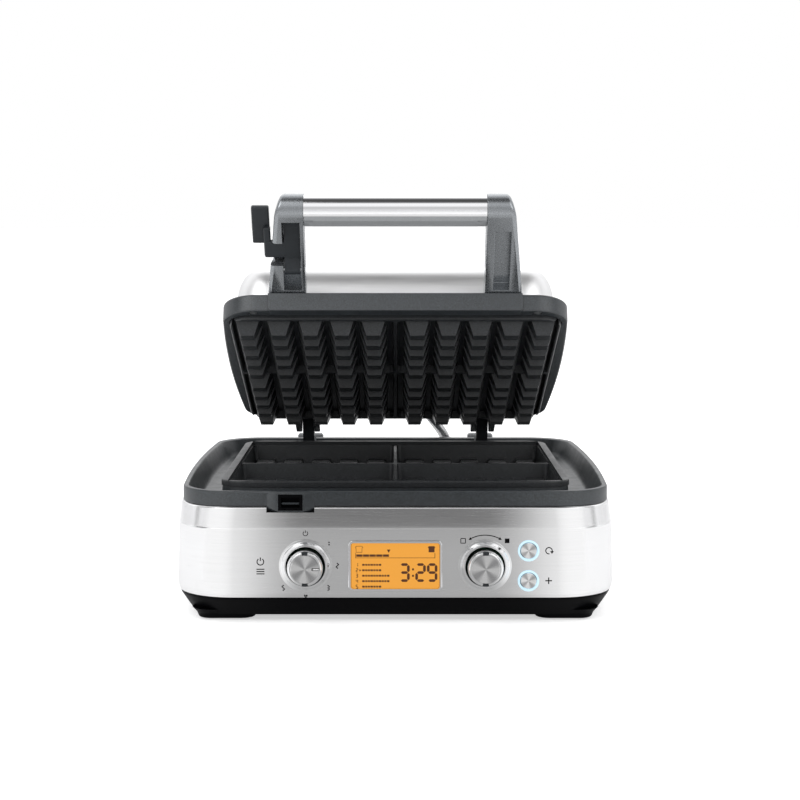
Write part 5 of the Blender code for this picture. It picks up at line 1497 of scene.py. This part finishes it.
def studio():
    """A white room: brightest above the horizon in front and behind, dark overhead."""
    world = bpy.data.worlds.new("studio")
    bpy.context.scene.world = world
    world.use_nodes = True
    tree = world.node_tree
    tree.nodes.clear()
    coords = tree.nodes.new("ShaderNodeTexCoord")
    parts = tree.nodes.new("ShaderNodeSeparateXYZ")
    tree.links.new(coords.outputs["Generated"], parts.inputs["Vector"])
    angle = tree.nodes.new("ShaderNodeMath")
    angle.operation = "ARCTAN2"
    flip = tree.nodes.new("ShaderNodeMath")
    flip.operation = "MULTIPLY"
    flip.inputs[1].default_value = -1.0
    tree.links.new(parts.outputs["Y"], flip.inputs[0])
    tree.links.new(parts.outputs["Z"], angle.inputs[0])
    tree.links.new(flip.outputs["Value"], angle.inputs[1])
    ramp = tree.nodes.new("ShaderNodeValToRGB")
    share = tree.nodes.new("ShaderNodeMapRange")
    share.inputs["From Min"].default_value = -math.pi
    share.inputs["From Max"].default_value = math.pi
    tree.links.new(angle.outputs["Value"], share.inputs["Value"])
    tree.links.new(share.outputs["Result"], ramp.inputs["Fac"])
    stops = ((-180, 1.0), (-60, 0.25), (-12, 0.75), (-2, 1.0), (9, 0.85), (16, 0.70), (26, 1.05), (34, 1.30),
             (48, 1.30), (58, 0.25), (66, 0.10), (86, 0.10), (97, 0.60), (106, 1.5), (135, 1.5), (150, 1.1),
             (180, 1.1))
    fill_ramp(ramp, [((degrees + 180) / 360, level) for degrees, level in stops], blue=1.01)
    bounce = tree.nodes.new("ShaderNodeBackground")
    bounce.inputs["Strength"].default_value = 0.80
    tree.links.new(ramp.outputs["Color"], bounce.inputs["Color"])
    plain = tree.nodes.new("ShaderNodeBackground")
    plain.inputs["Color"].default_value = (1, 1, 1, 1)
    plain.inputs["Strength"].default_value = 1.0
    seen = tree.nodes.new("ShaderNodeLightPath")
    pick = tree.nodes.new("ShaderNodeMixShader")
    tree.links.new(seen.outputs["Is Camera Ray"], pick.inputs["Fac"])
    tree.links.new(bounce.outputs["Background"], pick.inputs[1])
    tree.links.new(plain.outputs["Background"], pick.inputs[2])
    out = tree.nodes.new("ShaderNodeOutputWorld")
    tree.links.new(pick.outputs["Shader"], out.inputs["Surface"])
    area_light("key", (-0.9, -1.0, 1.5), (0, 0, 0.1), 1.2, 9)
    area_light("fill", (1.1, -0.9, 1.3), (0, 0, 0.1), 1.2, 6)
    area_light("back", (0, 1.4, 1.4), (0, 0, 0.2), 1.6, 6)


def reflector():
    """A card and its foot that only mirror-like surfaces see: darker in the middle and high up."""
    half_width = 0.34
    height = 0.30
    bm = bmesh.new()
    add_box(bm, (-half_width, BODY.front - 0.082, 0.001), (half_width, BODY.front - 0.080, height))
    add_box(bm, (-half_width, BODY.front - 0.080, 0.0004), (half_width, BODY.front + 0.010, 0.0008))
    made = loose("reflector", bm)
    finish = Finish("reflector", (0, 0, 0), 1.0)
    coords = finish.node("ShaderNodeTexCoord")
    parts = finish.node("ShaderNodeSeparateXYZ")
    finish.link(coords.outputs["Object"], parts.inputs["Vector"])
    side = finish.node("ShaderNodeMath", operation="ABSOLUTE")
    finish.link(parts.outputs["X"], side.inputs[0])
    across = finish.node("ShaderNodeValToRGB")
    up = finish.node("ShaderNodeValToRGB")
    for source, ramp, reach, stops in (
            (side.outputs["Value"], across, half_width,
             ((0.0, 1.0), (0.095, 1.0), (0.118, 0.75), (0.142, 0.36), (0.172, 0.07), (0.200, 0.0))),
            (parts.outputs["Z"], up, height,
             ((0.0, 0.60), (0.050, 0.58), (0.096, 0.66), (0.108, 0.84), (0.150, 0.84), (0.24, 0.2)))):
        share = finish.node("ShaderNodeMath", operation="DIVIDE")
        share.inputs[1].default_value = reach
        finish.link(source, share.inputs[0])
        finish.link(share.outputs["Value"], ramp.inputs["Fac"])
        fill_ramp(ramp, [(place / reach, level) for place, level in stops])
    product = finish.node("ShaderNodeMix", data_type="RGBA", blend_type="MULTIPLY")
    product.inputs["Factor"].default_value = 1.0
    finish.link(across.outputs["Color"], product.inputs["A"])
    finish.link(up.outputs["Color"], product.inputs["B"])
    light = finish.node("ShaderNodeInvert")
    finish.link(product.outputs["Result"], light.inputs["Color"])
    finish.link(light.outputs["Color"], finish.shader.inputs["Emission Color"])
    finish.shader.inputs["Emission Strength"].default_value = 1.0
    made.data.materials.append(finish.made)
    for kind in ("camera", "diffuse", "transmission", "volume_scatter", "shadow"):
        setattr(made, f"visible_{kind}", False)


def floor():
    bm = bmesh.new()
    bmesh.ops.create_grid(bm, x_segments=1, y_segments=1, size=90)
    made = loose("floor", bm)
    finish = Finish("floor", (0.93, 0.93, 0.93), 0.7)
    finish.vary_roughness(finish.noise(3), 0.03)
    finish.shader.inputs["Emission Color"].default_value = (1, 1, 1, 1)
    seen = finish.node("ShaderNodeLightPath")
    finish.link(finish.spread(seen.outputs["Is Camera Ray"], 0.12, 0.55, 0.0, 1.0),
                finish.shader.inputs["Emission Strength"])
    made.data.materials.append(finish.made)


# ----------------------------------------------------------------------------- build
FINISHES["amber_window"] = glowing("amber_window", (1.0, 0.42, 0.045), 0.78, (0.10, 0.05, 0.01)).made
FINISHES["lcd_ink"] = moulded("lcd_ink", (0.10, 0.028, 0.004), 0.45, strength=0.05)
camera()
studio()
floor()
reflector()
base_tray()
rubber_feet()
steel_wrap()
moat_frame()
plates()
hinges()
conduit()
lid_frame()
lid_cover()
handle_arms()
handle_bar()
latch()
for knob_side in (-1, 1):
    knob(knob_side)
knob_pointer()
push_buttons()
display()
print_on_panel()
carried_over()
bpy.context.scene.view_settings.view_transform = "Standard"
